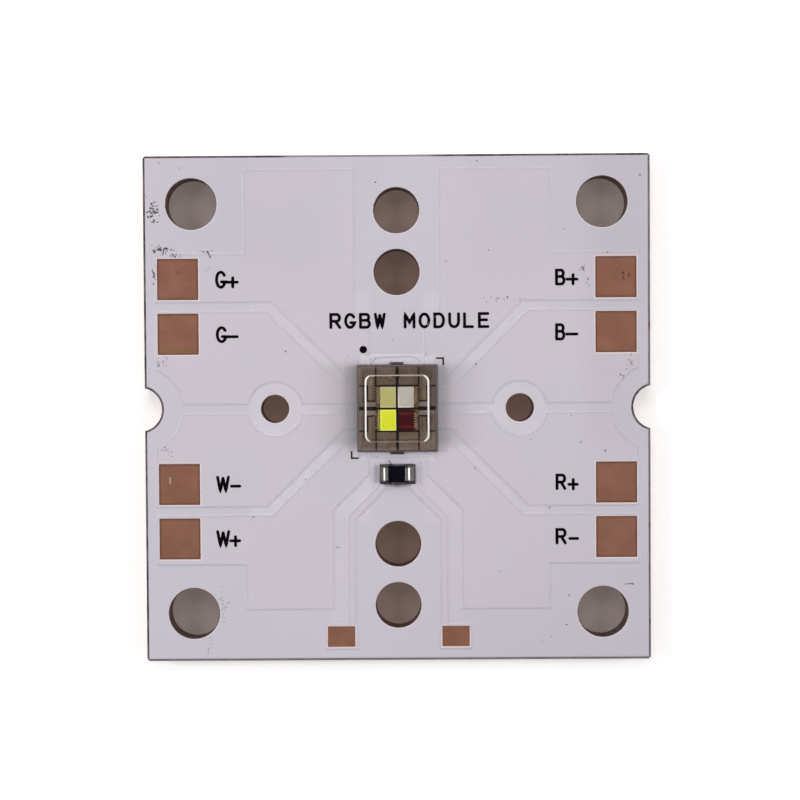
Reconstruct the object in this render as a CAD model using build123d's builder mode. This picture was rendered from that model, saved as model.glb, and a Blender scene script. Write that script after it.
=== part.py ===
from build123d import *
import math
import os

# RGBW LED chip on its copper-core board.
# Millimetres. +Z is up, out of the face that gives light.
# The origin is the middle of the board's back face.
# X runs to the right and Y to the pin 1 side. The green and white channels are on the left,
# the blue and red ones on the right.

# Board
BOARD_SIDE = 37.0
BOARD_CORNER_BREAK = 0.15
COPPER_T = 1.40
DIELECTRIC_T = 0.10
FOIL_T = 0.07
MASK_ON_FOIL_T = 0.03
MASK_ON_LAMINATE_T = 0.04

# Heights in the stack, counted from the back face
DIELECTRIC_Z = COPPER_T
FOIL_Z = DIELECTRIC_Z + DIELECTRIC_T
FOIL_TOP = FOIL_Z + FOIL_T
MASK_LOW_TOP = FOIL_Z + MASK_ON_LAMINATE_T
MASK_TOP = FOIL_TOP + MASK_ON_FOIL_T

# Holes and edge notches
CORNER_PITCH = 30.0
CORNER_HOLE_R = 1.85
MIDDLE_HOLE_R = 1.65
MIDDLE_HOLES_INNER_Y = 9.95
MIDDLE_HOLES_OUTER_Y = 14.45
PIN_HOLE_R = 1.0
PIN_HOLE_X = 8.955
NOTCH_X = 18.85
NOTCH_R = 1.6
MASK_RIM_GAP = 0.15
MASK_HOLE_GAP = 0.04

# Solder pads, as openings in the mask
PAD_SIDE = 3.0
PAD_X = 16.0
PAD_OUTER_Y = 9.5
PAD_INNER_Y = 5.5
WIRE_PAD_SIZE_X = 2.0
WIRE_PAD_SIZE_Y = 1.5
WIRE_PAD_X = 4.2
WIRE_PAD_Y = -16.75
WIRE_PAD_MARGIN = 0.1

# Copper fields of the channels. The 45 degree edges run towards the LED,
# where the distance from the Y axis is the height plus the fan offset.
FIELD_EDGE_X = 17.6
FIELD_STEP_X = 11.1
TOP_FIELD_Y = 17.4
TOP_FIELD_MID_Y = 11.3
TOP_FIELD_LOW_Y = 7.9
TOP_FIELD_INNER_X = 3.15
TOP_FIELD_NECK_X = 2.05
TOP_FIELD_STEP_Y = 7.0
TOP_NECK_END_Y = 4.05
TOP_FAN = 1.25
LOW_FIELD_Y = 14.65
LOW_FIELD_MID_Y = 11.35
LOW_FIELD_TOP_Y = 7.85
LOW_FIELD_INNER_X = 4.75
LOW_FIELD_NECK_X = 2.15
LOW_FIELD_STEP_Y = 7.4
LOW_NECK_END_Y = 3.75
LOW_FAN = 1.35
MID_FIELD_TOP_Y = 7.1
MID_FIELD_LOW_Y = 0.425
MID_FAN = 2.5
PIN_HOLE_RING_R = 2.05
NOTCH_RING_R = 3.2

# LED contacts under the package, two rows of four at each side of the thermal land
CONTACT_X = 2.6
CONTACT_OUTER_Y = 2.4
CONTACT_INNER_Y = 0.95
CONTACT_SIZE_X = 0.5
CONTACT_SIZE_Y = 0.85
CONTACT_MARGIN = 0.05
CONTACT_FOIL_X = 2.3
OUTER_CONTACT_FOIL_Y = 1.85
INNER_CONTACT_FOIL_Y = 1.45
LAND_HALF_X = 1.95
LAND_TOP_Y = 3.8
LAND_LOW_Y = -3.55
LAND_CONTACT_X = 3.6
LAND_CONTACT_Y = 5.6
MASK_SLOPE_RUN = 0.12
MASK_RISE = MASK_TOP - MASK_LOW_TOP

# Temperature sensor, its pads and its two tracks
SENSOR_PAD_CENTRE_Y = -4.83
SENSOR_PAD_INNER_X = 0.45
SENSOR_PAD_OUTER_X = 1.29
SENSOR_PAD_SIZE_Y = 1.47
SENSOR_PAD_MARGIN = 0.05
SENSOR_TRACK_WIDTH = 0.45
SENSOR_TRACK_X = 3.375
SENSOR_TRACK_START_X = 1.15
SENSOR_TRACK_BEND_Y = -8.0
SENSOR_X = -0.08
SENSOR_Y = -4.78
SENSOR_LENGTH = 2.0
SENSOR_WIDTH = 1.25
SENSOR_HEIGHT = 0.6
SENSOR_LIFT = 0.03
SENSOR_CAP_LENGTH = 0.375
SENSOR_CAP_WALL = 0.03
SENSOR_CAP_EDGE_BREAK = 0.05
SENSOR_SOLDER_RISE = 0.34
SENSOR_SOLDER_KNEE_Z = 0.12
SENSOR_SOLDER_KNEE_SHARE = 0.3

# LED package
LED_SIZE_X = 5.8
LED_SIZE_Y = 6.3
LED_SOLDER_T = 0.05
LED_BOTTOM_METAL_T = 0.03
LED_SUBSTRATE_T = 0.50
LED_TOP_METAL_T = 0.04
LED_EDGE_BREAK = 0.05
LED_TAB_WIDTH = 0.91
LED_TAB_END_WIDTH = 0.62
LED_TAB_REACH = 0.18
LED_TAB_T = 0.22
VIA_R = 0.1
VIA_SIDES = 6

LED_METAL_Z = FOIL_TOP + LED_SOLDER_T
LED_SUBSTRATE_Z = LED_METAL_Z + LED_BOTTOM_METAL_T
LED_SUBSTRATE_TOP = LED_SUBSTRATE_Z + LED_SUBSTRATE_T
LED_DECK = LED_SUBSTRATE_TOP + LED_TOP_METAL_T

# Plated lands on top of the package, for one quarter of it. The gaps along the two middle lines
# are wider where no die lies beside them.
DECK_HALF_X = 2.78
DECK_HALF_Y = 3.03
DECK_ROW_Y = 1.65
DECK_COLUMN_X = 1.555
DECK_SLOT_X = 2.15
DECK_SLOT_Y = 0.55
DECK_GAP = 0.10
DECK_DIE_GAP = 0.12
DECK_WIDE_GAP_X = 0.20
DECK_WIDE_GAP_Y = 0.26

# Dies and the bond wires at their outer sides. The die under the phosphor plate is wider,
# because its wires start on a ledge that the plate leaves free.
DIE_SIZE_X = 1.17
RED_DIE_SIZE_X = 1.22
WHITE_DIE_SIZE_X = 1.31
DIE_SIZE_Y = 1.53
DIE_T = 0.12
DIE_GAP_X = 0.16
DIE_GAP_Y = 0.13
PHOSPHOR_LEDGE = 0.08
PHOSPHOR_T = 0.08
WIRE_COUNT = 6
WIRE_PITCH = 0.185
WIRE_R = 0.0175
WIRE_START_INSET = 0.04
WIRE_SIDES = 4
WIRE_NECK = 0.04
WIRE_RISE = 0.10
WIRE_CREST_REACH = 0.18
WIRE_REACH = 0.53
WIRE_SLANT_ANGLE = 32.0

# Clear cover, moulded over the dies
COVER_MARGIN = 0.07
COVER_FLANGE_T = 0.14
WINDOW_SIZE_X = 4.70
WINDOW_SIZE_Y = 4.90
WINDOW_X = -0.03
WINDOW_Y = 0.02
WINDOW_CORNER_R = 0.5
WINDOW_HEIGHT = 0.66
WINDOW_EDGE_R = 0.14
WINDOW_KNEE = WINDOW_EDGE_R * (1 - math.sqrt(0.5))
WIRE_ROOM_INNER_X = 1.14
WIRE_ROOM_OUTER_X = 1.86
WIRE_ROOM_SIZE_Y = 1.56
WIRE_ROOM_T = 0.30

# Printed marks
INK_T = 0.015
DOT_X = -2.47
DOT_Y = 4.30
DOT_R = 0.27
CORNER_MARK_X = 3.37
CORNER_MARK_Y = 3.64
CORNER_MARK_LENGTH = 0.45
CORNER_MARK_LINE = 0.12

# Signs of X for the two sides of the board, and of Y for the two halves of each side
LEFT = -1
RIGHT = 1
UPPER = 1
LOWER = -1


def board_sketch(height, setback=0.0, gap=0.0):
    """A full face of the board at a height. It is drawn in from the plate's edge by setback,
    and each hole is wider than the plate's own by gap all round."""
    side = BOARD_SIDE - 2 * setback
    with BuildSketch(Plane.XY.offset(height)) as face:
        Rectangle(side, side)
        if setback < BOARD_CORNER_BREAK:
            chamfer(face.vertices(), length=BOARD_CORNER_BREAK - setback)
        with GridLocations(2 * NOTCH_X, 1, 2, 1):
            Circle(NOTCH_R + setback, mode=Mode.SUBTRACT)
        with GridLocations(CORNER_PITCH, CORNER_PITCH, 2, 2):
            Circle(CORNER_HOLE_R + gap, mode=Mode.SUBTRACT)
        for hole_y in (MIDDLE_HOLES_INNER_Y, MIDDLE_HOLES_OUTER_Y):
            with GridLocations(1, 2 * hole_y, 1, 2):
                Circle(MIDDLE_HOLE_R + gap, mode=Mode.SUBTRACT)
        with GridLocations(2 * PIN_HOLE_X, 1, 2, 1):
            Circle(PIN_HOLE_R + gap, mode=Mode.SUBTRACT)
    return face.sketch


def quarter_polygon(side, row, corners):
    """A polygon drawn once for the upper right quarter and turned over to its own side and row."""
    with BuildLine() as border:
        Polyline([(side * x, row * y) for x, y in corners], close=True)
    make_face(border.edges())


def land_sketch(height, growth=0.0):
    """Top of the copper land that rises under the LED, larger by growth all round."""
    with BuildSketch(Plane.XY.offset(height)) as land:
        with Locations((0, (LAND_TOP_Y + LAND_LOW_Y) / 2)):
            Rectangle(2 * (LAND_HALF_X + growth), LAND_TOP_Y - LAND_LOW_Y + 2 * growth)
    return land.sketch


def outer_field(near_y, fan, neck_x, neck_end_y, inner_x, step_y, far_y, mid_y):
    """Corners of an outer pad's field: down its 45 degree edge to the LED, then round by the middle."""
    return [
        (FIELD_EDGE_X, near_y),
        (near_y + fan, near_y),
        (OUTER_CONTACT_FOIL_Y + fan, OUTER_CONTACT_FOIL_Y),
        (CONTACT_FOIL_X, OUTER_CONTACT_FOIL_Y),
        (CONTACT_FOIL_X, neck_end_y - (CONTACT_FOIL_X - neck_x)),
        (neck_x, neck_end_y),
        (neck_x, step_y - (inner_x - neck_x)),
        (inner_x, step_y),
        (inner_x, far_y),
        (FIELD_STEP_X, far_y),
        (FIELD_STEP_X, mid_y),
        (FIELD_EDGE_X, mid_y),
    ]


TOP_FIELD = outer_field(
    near_y=TOP_FIELD_LOW_Y,
    fan=TOP_FAN,
    neck_x=TOP_FIELD_NECK_X,
    neck_end_y=TOP_NECK_END_Y,
    inner_x=TOP_FIELD_INNER_X,
    step_y=TOP_FIELD_STEP_Y,
    far_y=TOP_FIELD_Y,
    mid_y=TOP_FIELD_MID_Y,
)
LOW_FIELD = outer_field(
    near_y=LOW_FIELD_TOP_Y,
    fan=LOW_FAN,
    neck_x=LOW_FIELD_NECK_X,
    neck_end_y=LOW_NECK_END_Y,
    inner_x=LOW_FIELD_INNER_X,
    step_y=LOW_FIELD_STEP_Y,
    far_y=LOW_FIELD_Y,
    mid_y=LOW_FIELD_MID_Y,
)
MIDDLE_FIELD = [
    (FIELD_EDGE_X, MID_FIELD_LOW_Y),
    (FIELD_EDGE_X, MID_FIELD_TOP_Y),
    (MID_FIELD_TOP_Y + MID_FAN, MID_FIELD_TOP_Y),
    (INNER_CONTACT_FOIL_Y + MID_FAN, INNER_CONTACT_FOIL_Y),
    (CONTACT_FOIL_X, INNER_CONTACT_FOIL_Y),
    (CONTACT_FOIL_X, MID_FIELD_LOW_Y),
]
# Copper keeps off the locating hole and the edge notch by these rings
HOLE_RINGS = [(PIN_HOLE_X, PIN_HOLE_RING_R), (NOTCH_X, NOTCH_RING_R)]

# The eight tracks of the four channels: side, row and corners
CHANNEL_TRACKS = {
    "foil_green_plus": (LEFT, UPPER, TOP_FIELD),
    "foil_blue_plus": (RIGHT, UPPER, TOP_FIELD),
    "foil_green_minus": (LEFT, UPPER, MIDDLE_FIELD),
    "foil_blue_minus": (RIGHT, UPPER, MIDDLE_FIELD),
    "foil_white_minus": (LEFT, LOWER, MIDDLE_FIELD),
    "foil_red_plus": (RIGHT, LOWER, MIDDLE_FIELD),
    "foil_white_plus": (LEFT, LOWER, LOW_FIELD),
    "foil_red_minus": (RIGHT, LOWER, LOW_FIELD),
}


def field_sketch(side, row, corners, height, growth=0.0):
    """A field's straight-sided outline on its own side and row, larger by growth all round."""
    with BuildSketch(Plane.XY.offset(height)) as field:
        quarter_polygon(side, row, corners)
        if growth:
            offset(amount=growth, kind=Kind.INTERSECTION)
    return field.sketch


def channel_foil(side, row, corners):
    """Sheet of foil, cut by the rings where it meets them."""
    with BuildPart() as foil:
        extrude(field_sketch(side, row, corners, FOIL_Z), amount=FOIL_T)
        for ring_x, ring_r in HOLE_RINGS:
            with Locations((side * ring_x, 0, FOIL_Z + FOIL_T / 2)):
                Cylinder(ring_r, FOIL_T, mode=Mode.SUBTRACT)
    return foil


def sensor_track_sketch(side, height, growth=0.0):
    """Wire pad, thin track and sensor pad of one end of the temperature sensor."""
    with BuildSketch(Plane.XY.offset(height)) as track:
        with BuildLine():
            Polyline(
                (side * SENSOR_TRACK_START_X, SENSOR_PAD_CENTRE_Y),
                (side * SENSOR_TRACK_START_X, SENSOR_TRACK_BEND_Y + SENSOR_TRACK_X - SENSOR_TRACK_START_X),
                (side * SENSOR_TRACK_X, SENSOR_TRACK_BEND_Y),
                (side * SENSOR_TRACK_X, WIRE_PAD_Y),
            )
        trace(line_width=SENSOR_TRACK_WIDTH + 2 * growth)
        pad_middle_x = (SENSOR_PAD_INNER_X + SENSOR_PAD_OUTER_X) / 2
        pad_size_x = SENSOR_PAD_OUTER_X - SENSOR_PAD_INNER_X
        with Locations((side * pad_middle_x, SENSOR_PAD_CENTRE_Y)):
            Rectangle(
                pad_size_x + 2 * (SENSOR_PAD_MARGIN + growth),
                SENSOR_PAD_SIZE_Y + 2 * (SENSOR_PAD_MARGIN + growth),
            )
        with Locations((side * WIRE_PAD_X, WIRE_PAD_Y)):
            Rectangle(
                WIRE_PAD_SIZE_X + 2 * (WIRE_PAD_MARGIN + growth),
                WIRE_PAD_SIZE_Y + 2 * (WIRE_PAD_MARGIN + growth),
            )
    return track.sketch


def sensor_foil(side):
    """Foil of one sensor track."""
    with BuildPart() as foil:
        extrude(sensor_track_sketch(side, FOIL_Z), amount=FOIL_T)
    return foil


def mask_rise(draw):
    """The mask over a shape, which is drawn at a height with a growth: its sides slope up to the edge."""
    with BuildPart() as rise:
        add(draw(MASK_LOW_TOP, MASK_SLOPE_RUN))
        add(draw(MASK_TOP, 0))
        loft(ruled=True)
    return rise


os.makedirs("parts", exist_ok=True)
pieces = {}

# Copper plate with the land that carries the LED's heat through the insulation
with BuildPart() as copper_base:
    extrude(board_sketch(0), amount=COPPER_T)
    extrude(land_sketch(COPPER_T), amount=FOIL_TOP - COPPER_T)
pieces["copper_base"] = copper_base

# Insulation between the plate and the tracks, open round the land
with BuildPart() as dielectric_layer:
    extrude(board_sketch(DIELECTRIC_Z), amount=DIELECTRIC_T)
    extrude(land_sketch(DIELECTRIC_Z), amount=DIELECTRIC_T, mode=Mode.SUBTRACT)
pieces["dielectric_layer"] = dielectric_layer

# Copper tracks, and the rises of the mask over them and over the land
mask_rises = [mask_rise(land_sketch)]
for track_name, track in CHANNEL_TRACKS.items():
    pieces[track_name] = channel_foil(*track)
    mask_rises.append(mask_rise(lambda height, growth: field_sketch(*track, height, growth)))
for side, word in ((LEFT, "left"), (RIGHT, "right")):
    pieces["foil_sensor_" + word] = sensor_foil(side)
    mask_rises.append(mask_rise(lambda height, growth: sensor_track_sketch(side, height, growth)))

# White mask: a thin skin on the insulation with the rises on it, sloped down round the rings,
# hollow where the foil and the land fill it, and open over every pad
with BuildPart() as solder_mask:
    extrude(board_sketch(FOIL_Z, MASK_RIM_GAP, MASK_HOLE_GAP), amount=MASK_ON_LAMINATE_T)
    for rise in mask_rises:
        add(rise.part)
    for ring_x, ring_r in HOLE_RINGS:
        ring_z = MASK_LOW_TOP + MASK_RISE / 2
        with Locations((-ring_x, 0, ring_z), (ring_x, 0, ring_z)):
            Cone(ring_r - MASK_SLOPE_RUN, ring_r, MASK_RISE, mode=Mode.SUBTRACT)
    for piece_name, piece in pieces.items():
        if piece_name.startswith("foil"):
            add(piece.part, mode=Mode.SUBTRACT)
    extrude(land_sketch(FOIL_Z), amount=FOIL_T, mode=Mode.SUBTRACT)
    with BuildSketch(Plane.XY.offset(FOIL_TOP)):
        for pad_y in (PAD_OUTER_Y, PAD_INNER_Y):
            with GridLocations(2 * PAD_X, 2 * pad_y, 2, 2):
                Rectangle(PAD_SIDE, PAD_SIDE)
        with Locations((-WIRE_PAD_X, WIRE_PAD_Y), (WIRE_PAD_X, WIRE_PAD_Y)):
            Rectangle(WIRE_PAD_SIZE_X, WIRE_PAD_SIZE_Y)
        sensor_pad_x = (SENSOR_PAD_INNER_X + SENSOR_PAD_OUTER_X) / 2
        with Locations((-sensor_pad_x, SENSOR_PAD_CENTRE_Y), (sensor_pad_x, SENSOR_PAD_CENTRE_Y)):
            Rectangle(SENSOR_PAD_OUTER_X - SENSOR_PAD_INNER_X, SENSOR_PAD_SIZE_Y)
        for contact_y in (CONTACT_OUTER_Y, CONTACT_INNER_Y):
            with GridLocations(2 * CONTACT_X, 2 * contact_y, 2, 2):
                Rectangle(CONTACT_SIZE_X + 2 * CONTACT_MARGIN, CONTACT_SIZE_Y + 2 * CONTACT_MARGIN)
        Rectangle(LAND_CONTACT_X, LAND_CONTACT_Y)
    extrude(amount=MASK_TOP - FOIL_TOP, mode=Mode.SUBTRACT)
pieces["solder_mask"] = solder_mask

# Ink: the dot at pin 1 and the two corner marks of the package
with BuildPart() as printed_marks:
    with BuildSketch(Plane.XY.offset(MASK_TOP)):
        with Locations((DOT_X, DOT_Y)):
            Circle(DOT_R)
        for turn in (UPPER, LOWER):
            mark_x = turn * CORNER_MARK_X
            mark_y = turn * CORNER_MARK_Y
            with Locations((mark_x - turn * CORNER_MARK_LENGTH / 2, mark_y)):
                Rectangle(CORNER_MARK_LENGTH + CORNER_MARK_LINE, CORNER_MARK_LINE)
            with Locations((mark_x, mark_y - turn * CORNER_MARK_LENGTH / 2)):
                Rectangle(CORNER_MARK_LINE, CORNER_MARK_LENGTH + CORNER_MARK_LINE)
    extrude(amount=INK_T)
pieces["printed_marks"] = printed_marks


def contact_pattern(height):
    """The eight contacts and the thermal land under the package."""
    with BuildSketch(Plane.XY.offset(height)) as pattern:
        for row_y in (CONTACT_OUTER_Y, CONTACT_INNER_Y):
            with GridLocations(2 * CONTACT_X, 2 * row_y, 2, 2):
                Rectangle(CONTACT_SIZE_X, CONTACT_SIZE_Y)
        Rectangle(LAND_CONTACT_X, LAND_CONTACT_Y)
    return pattern.sketch


# Solder joints between the board and the package, and the package's plated contacts
with BuildPart() as led_solder:
    extrude(contact_pattern(FOIL_TOP), amount=LED_SOLDER_T)
pieces["led_solder"] = led_solder

with BuildPart() as led_bottom_metal:
    extrude(contact_pattern(LED_METAL_Z), amount=LED_BOTTOM_METAL_T)
pieces["led_bottom_metal"] = led_bottom_metal


def via_posts(height):
    """One six-sided post over each contact."""
    with BuildSketch(Plane.XY.offset(height)) as posts:
        for row_y in (CONTACT_OUTER_Y, CONTACT_INNER_Y):
            with GridLocations(2 * CONTACT_X, 2 * row_y, 2, 2):
                RegularPolygon(VIA_R, VIA_SIDES)
    return posts.sketch


# Ceramic plate, with the stubs of the strip it was broken from and its edges a little worn
with BuildPart() as led_substrate:
    with BuildSketch(Plane.XY.offset(LED_SUBSTRATE_Z)):
        Rectangle(LED_SIZE_X, LED_SIZE_Y)
    extrude(amount=LED_SUBSTRATE_T)
    chamfer(led_substrate.faces().sort_by(Axis.Z)[-1].edges(), length=LED_EDGE_BREAK)
    with BuildSketch(Plane.XY.offset(LED_SUBSTRATE_Z)):
        for turn in (UPPER, LOWER):
            with BuildLine():
                Polyline(
                    (-LED_TAB_WIDTH / 2, turn * LED_SIZE_Y / 2),
                    (LED_TAB_WIDTH / 2, turn * LED_SIZE_Y / 2),
                    (LED_TAB_END_WIDTH / 2, turn * (LED_SIZE_Y / 2 + LED_TAB_REACH)),
                    (-LED_TAB_END_WIDTH / 2, turn * (LED_SIZE_Y / 2 + LED_TAB_REACH)),
                    close=True,
                )
            make_face()
    extrude(amount=LED_TAB_T)
    extrude(via_posts(LED_SUBSTRATE_Z), amount=LED_SUBSTRATE_T, mode=Mode.SUBTRACT)
pieces["led_substrate"] = led_substrate

with BuildPart() as led_vias:
    extrude(via_posts(LED_SUBSTRATE_Z), amount=LED_SUBSTRATE_T)
pieces["led_vias"] = led_vias

# Plated lands on the deck. Each quarter has a wire lead, which comes down beside the die from the corner,
# a die lead, which lies under the die and reaches the package's side between two slots,
# and an end land, which only keeps the deck level.
HALF_GAP = DECK_GAP / 2
HALF_DIE_GAP = DECK_DIE_GAP / 2
WIRE_LEAD = [
    (DECK_HALF_X, DECK_HALF_Y),
    (DECK_COLUMN_X + HALF_GAP, DECK_HALF_Y),
    (DECK_COLUMN_X + HALF_GAP, DECK_SLOT_Y + HALF_GAP),
    (DECK_SLOT_X - HALF_GAP, DECK_SLOT_Y + HALF_GAP),
    (DECK_SLOT_X - HALF_GAP, DECK_ROW_Y + HALF_GAP),
    (DECK_HALF_X, DECK_ROW_Y + HALF_GAP),
]
DIE_LEAD = [
    (HALF_DIE_GAP, HALF_DIE_GAP),
    (HALF_DIE_GAP, DECK_ROW_Y - HALF_GAP),
    (DECK_COLUMN_X - HALF_GAP, DECK_ROW_Y - HALF_GAP),
    (DECK_COLUMN_X - HALF_GAP, DECK_SLOT_Y - HALF_GAP),
    (DECK_SLOT_X + HALF_GAP, DECK_SLOT_Y - HALF_GAP),
    (DECK_SLOT_X + HALF_GAP, DECK_ROW_Y - HALF_GAP),
    (DECK_HALF_X, DECK_ROW_Y - HALF_GAP),
    (DECK_HALF_X, DECK_WIDE_GAP_Y / 2),
    (DECK_COLUMN_X - HALF_GAP, DECK_WIDE_GAP_Y / 2),
    (DECK_COLUMN_X - HALF_GAP, HALF_DIE_GAP),
]
END_LAND = [
    (DECK_WIDE_GAP_X / 2, DECK_ROW_Y + HALF_GAP),
    (DECK_WIDE_GAP_X / 2, DECK_HALF_Y),
    (DECK_COLUMN_X - HALF_GAP, DECK_HALF_Y),
    (DECK_COLUMN_X - HALF_GAP, DECK_ROW_Y + HALF_GAP),
]

with BuildPart() as led_top_metal:
    with BuildSketch(Plane.XY.offset(LED_SUBSTRATE_TOP)):
        for side in (LEFT, RIGHT):
            for row in (UPPER, LOWER):
                quarter_polygon(side, row, WIRE_LEAD)
                quarter_polygon(side, row, DIE_LEAD)
                quarter_polygon(side, row, END_LAND)
    extrude(amount=LED_TOP_METAL_T)
pieces["led_top_metal"] = led_top_metal


def die_slab(side, row, size_x, height, thickness):
    """A thin plate over one quarter of the cross, from the cross's gaps out to size_x."""
    with BuildPart() as thin:
        with BuildSketch(Plane.XY.offset(height)):
            with Locations((side * (DIE_GAP_X + size_x) / 2, row * (DIE_GAP_Y + DIE_SIZE_Y) / 2)):
                Rectangle(size_x, DIE_SIZE_Y)
        extrude(amount=thickness)
    return thin


# Four dies, and the plate of phosphor on the one that gives white
DIES = {
    "green": (LEFT, UPPER, DIE_SIZE_X),
    "blue": (RIGHT, UPPER, DIE_SIZE_X),
    "white": (LEFT, LOWER, WHITE_DIE_SIZE_X),
    "red": (RIGHT, LOWER, RED_DIE_SIZE_X),
}
for colour, die_place in DIES.items():
    pieces[colour + "_die"] = die_slab(*die_place, LED_DECK, DIE_T)
phosphor_size_x = WHITE_DIE_SIZE_X - PHOSPHOR_LEDGE
pieces["phosphor_plate"] = die_slab(LEFT, LOWER, phosphor_size_x, LED_DECK + DIE_T, PHOSPHOR_T)


def bond_comb(side, row, die_size_x):
    """One row of wires. Each stands on the die's edge, bends over and comes down on the wire lead."""
    start_x = side * (DIE_GAP_X / 2 + die_size_x - WIRE_START_INSET)
    centre_y = row * (DIE_GAP_Y + DIE_SIZE_Y) / 2
    die_top = LED_DECK + DIE_T
    heading = Vector(side, 0, 0).rotate(Axis.Z, side * row * WIRE_SLANT_ANGLE)
    across = heading.cross(Vector(0, 0, 1))
    with BuildPart() as comb:
        for number in range(WIRE_COUNT):
            start_y = centre_y + (number - (WIRE_COUNT - 1) / 2) * WIRE_PITCH
            with BuildLine(Plane(origin=(start_x, start_y, 0), x_dir=heading, z_dir=across)) as path:
                Polyline(
                    (0, die_top),
                    (0, die_top + WIRE_NECK),
                    (WIRE_CREST_REACH, die_top + WIRE_RISE),
                    (WIRE_REACH, LED_DECK + WIRE_NECK),
                    (WIRE_REACH, LED_DECK),
                )
            with BuildSketch(Plane.XY.offset(die_top)):
                with Locations((start_x, start_y)):
                    RegularPolygon(WIRE_R, WIRE_SIDES)
            sweep(path=path.line, transition=Transition.RIGHT)
    return comb


for colour, die_place in DIES.items():
    pieces[colour + "_wires"] = bond_comb(*die_place)

# Clear cover: a thin flange over the deck and the raised window with rounded edges,
# with room underneath for the dies and for each comb of wires
with BuildPart() as led_cover:
    with BuildSketch(Plane.XY.offset(LED_DECK)):
        Rectangle(LED_SIZE_X - 2 * COVER_MARGIN, LED_SIZE_Y - 2 * COVER_MARGIN)
    extrude(amount=COVER_FLANGE_T)
    with BuildSketch(Plane.XY.offset(LED_DECK + COVER_FLANGE_T)):
        with Locations((WINDOW_X, WINDOW_Y)):
            RectangleRounded(WINDOW_SIZE_X, WINDOW_SIZE_Y, WINDOW_CORNER_R)
    extrude(amount=WINDOW_HEIGHT - COVER_FLANGE_T)
    # The window's top edge is rounded in two flats: a steep one first, then a low one over it
    steep_run = WINDOW_KNEE * WINDOW_EDGE_R / (WINDOW_EDGE_R - WINDOW_KNEE)
    window_top = led_cover.faces().sort_by(Axis.Z)[-1]
    chamfer(window_top.edges(), length=steep_run, length2=WINDOW_EDGE_R, reference=window_top)
    low_slope = math.hypot(steep_run - WINDOW_KNEE, WINDOW_KNEE)
    window_top = led_cover.faces().sort_by(Axis.Z)[-1]
    chamfer(window_top.edges(), length=WINDOW_EDGE_R - steep_run, length2=low_slope, reference=window_top)
    for colour in DIES:
        add(pieces[colour + "_die"].part, mode=Mode.SUBTRACT)
    add(pieces["phosphor_plate"].part, mode=Mode.SUBTRACT)
    with BuildSketch(Plane.XY.offset(LED_DECK)):
        room_x = WIRE_ROOM_INNER_X + WIRE_ROOM_OUTER_X
        with GridLocations(room_x, DIE_GAP_Y + DIE_SIZE_Y, 2, 2):
            Rectangle(WIRE_ROOM_OUTER_X - WIRE_ROOM_INNER_X, WIRE_ROOM_SIZE_Y)
    extrude(amount=WIRE_ROOM_T, mode=Mode.SUBTRACT)
pieces["led_cover"] = led_cover

# Temperature sensor: a ceramic chip whose two ends sit in plated caps
SENSOR_Z = FOIL_TOP + SENSOR_LIFT
SENSOR_MIDDLE_Z = SENSOR_Z + SENSOR_HEIGHT / 2

with BuildPart() as sensor_body:
    with Locations((SENSOR_X, SENSOR_Y, SENSOR_MIDDLE_Z)):
        Box(
            SENSOR_LENGTH - 2 * SENSOR_CAP_WALL,
            SENSOR_WIDTH - 2 * SENSOR_CAP_WALL,
            SENSOR_HEIGHT - 2 * SENSOR_CAP_WALL,
        )
pieces["sensor_body"] = sensor_body


def sensor_cap(side):
    """Plated cap: a cup over one end of the chip, its outer edges broken."""
    cap_x = SENSOR_X + side * (SENSOR_LENGTH - SENSOR_CAP_LENGTH) / 2
    with BuildPart() as cap:
        with Locations((cap_x, SENSOR_Y, SENSOR_MIDDLE_Z)):
            Box(SENSOR_CAP_LENGTH, SENSOR_WIDTH, SENSOR_HEIGHT)
        end_face = cap.faces().sort_by(Axis.X)[-1 if side == RIGHT else 0]
        chamfer(end_face.edges(), length=SENSOR_CAP_EDGE_BREAK)
        add(sensor_body.part, mode=Mode.SUBTRACT)
    return cap


def sensor_solder(side, cap):
    """Solder joint: drawn in from the pad's edge in a hollow curve up to the foot of the cap."""
    pad_x = side * (SENSOR_PAD_INNER_X + SENSOR_PAD_OUTER_X) / 2
    pad_size_x = SENSOR_PAD_OUTER_X - SENSOR_PAD_INNER_X
    cap_x = SENSOR_X + side * (SENSOR_LENGTH - SENSOR_CAP_LENGTH) / 2
    knee_share = SENSOR_SOLDER_KNEE_SHARE
    knee_x = cap_x + (pad_x - cap_x) * knee_share
    knee_y = SENSOR_Y + (SENSOR_PAD_CENTRE_Y - SENSOR_Y) * knee_share
    knee_size_x = SENSOR_CAP_LENGTH + (pad_size_x - SENSOR_CAP_LENGTH) * knee_share
    knee_size_y = SENSOR_WIDTH + (SENSOR_PAD_SIZE_Y - SENSOR_WIDTH) * knee_share
    with BuildPart() as joint:
        with BuildSketch(Plane.XY.offset(FOIL_TOP)):
            with Locations((pad_x, SENSOR_PAD_CENTRE_Y)):
                Rectangle(pad_size_x, SENSOR_PAD_SIZE_Y)
        with BuildSketch(Plane.XY.offset(FOIL_TOP + SENSOR_SOLDER_KNEE_Z)):
            with Locations((knee_x, knee_y)):
                Rectangle(knee_size_x, knee_size_y)
        with BuildSketch(Plane.XY.offset(FOIL_TOP + SENSOR_SOLDER_RISE)):
            with Locations((cap_x, SENSOR_Y)):
                Rectangle(SENSOR_CAP_LENGTH, SENSOR_WIDTH)
        loft(ruled=True)
        add(sensor_body.part, mode=Mode.SUBTRACT)
        add(cap.part, mode=Mode.SUBTRACT)
    return joint


for side, word in ((LEFT, "left"), (RIGHT, "right")):
    pieces["sensor_cap_" + word] = sensor_cap(side)
    pieces["sensor_solder_" + word] = sensor_solder(side, pieces["sensor_cap_" + word])

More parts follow.
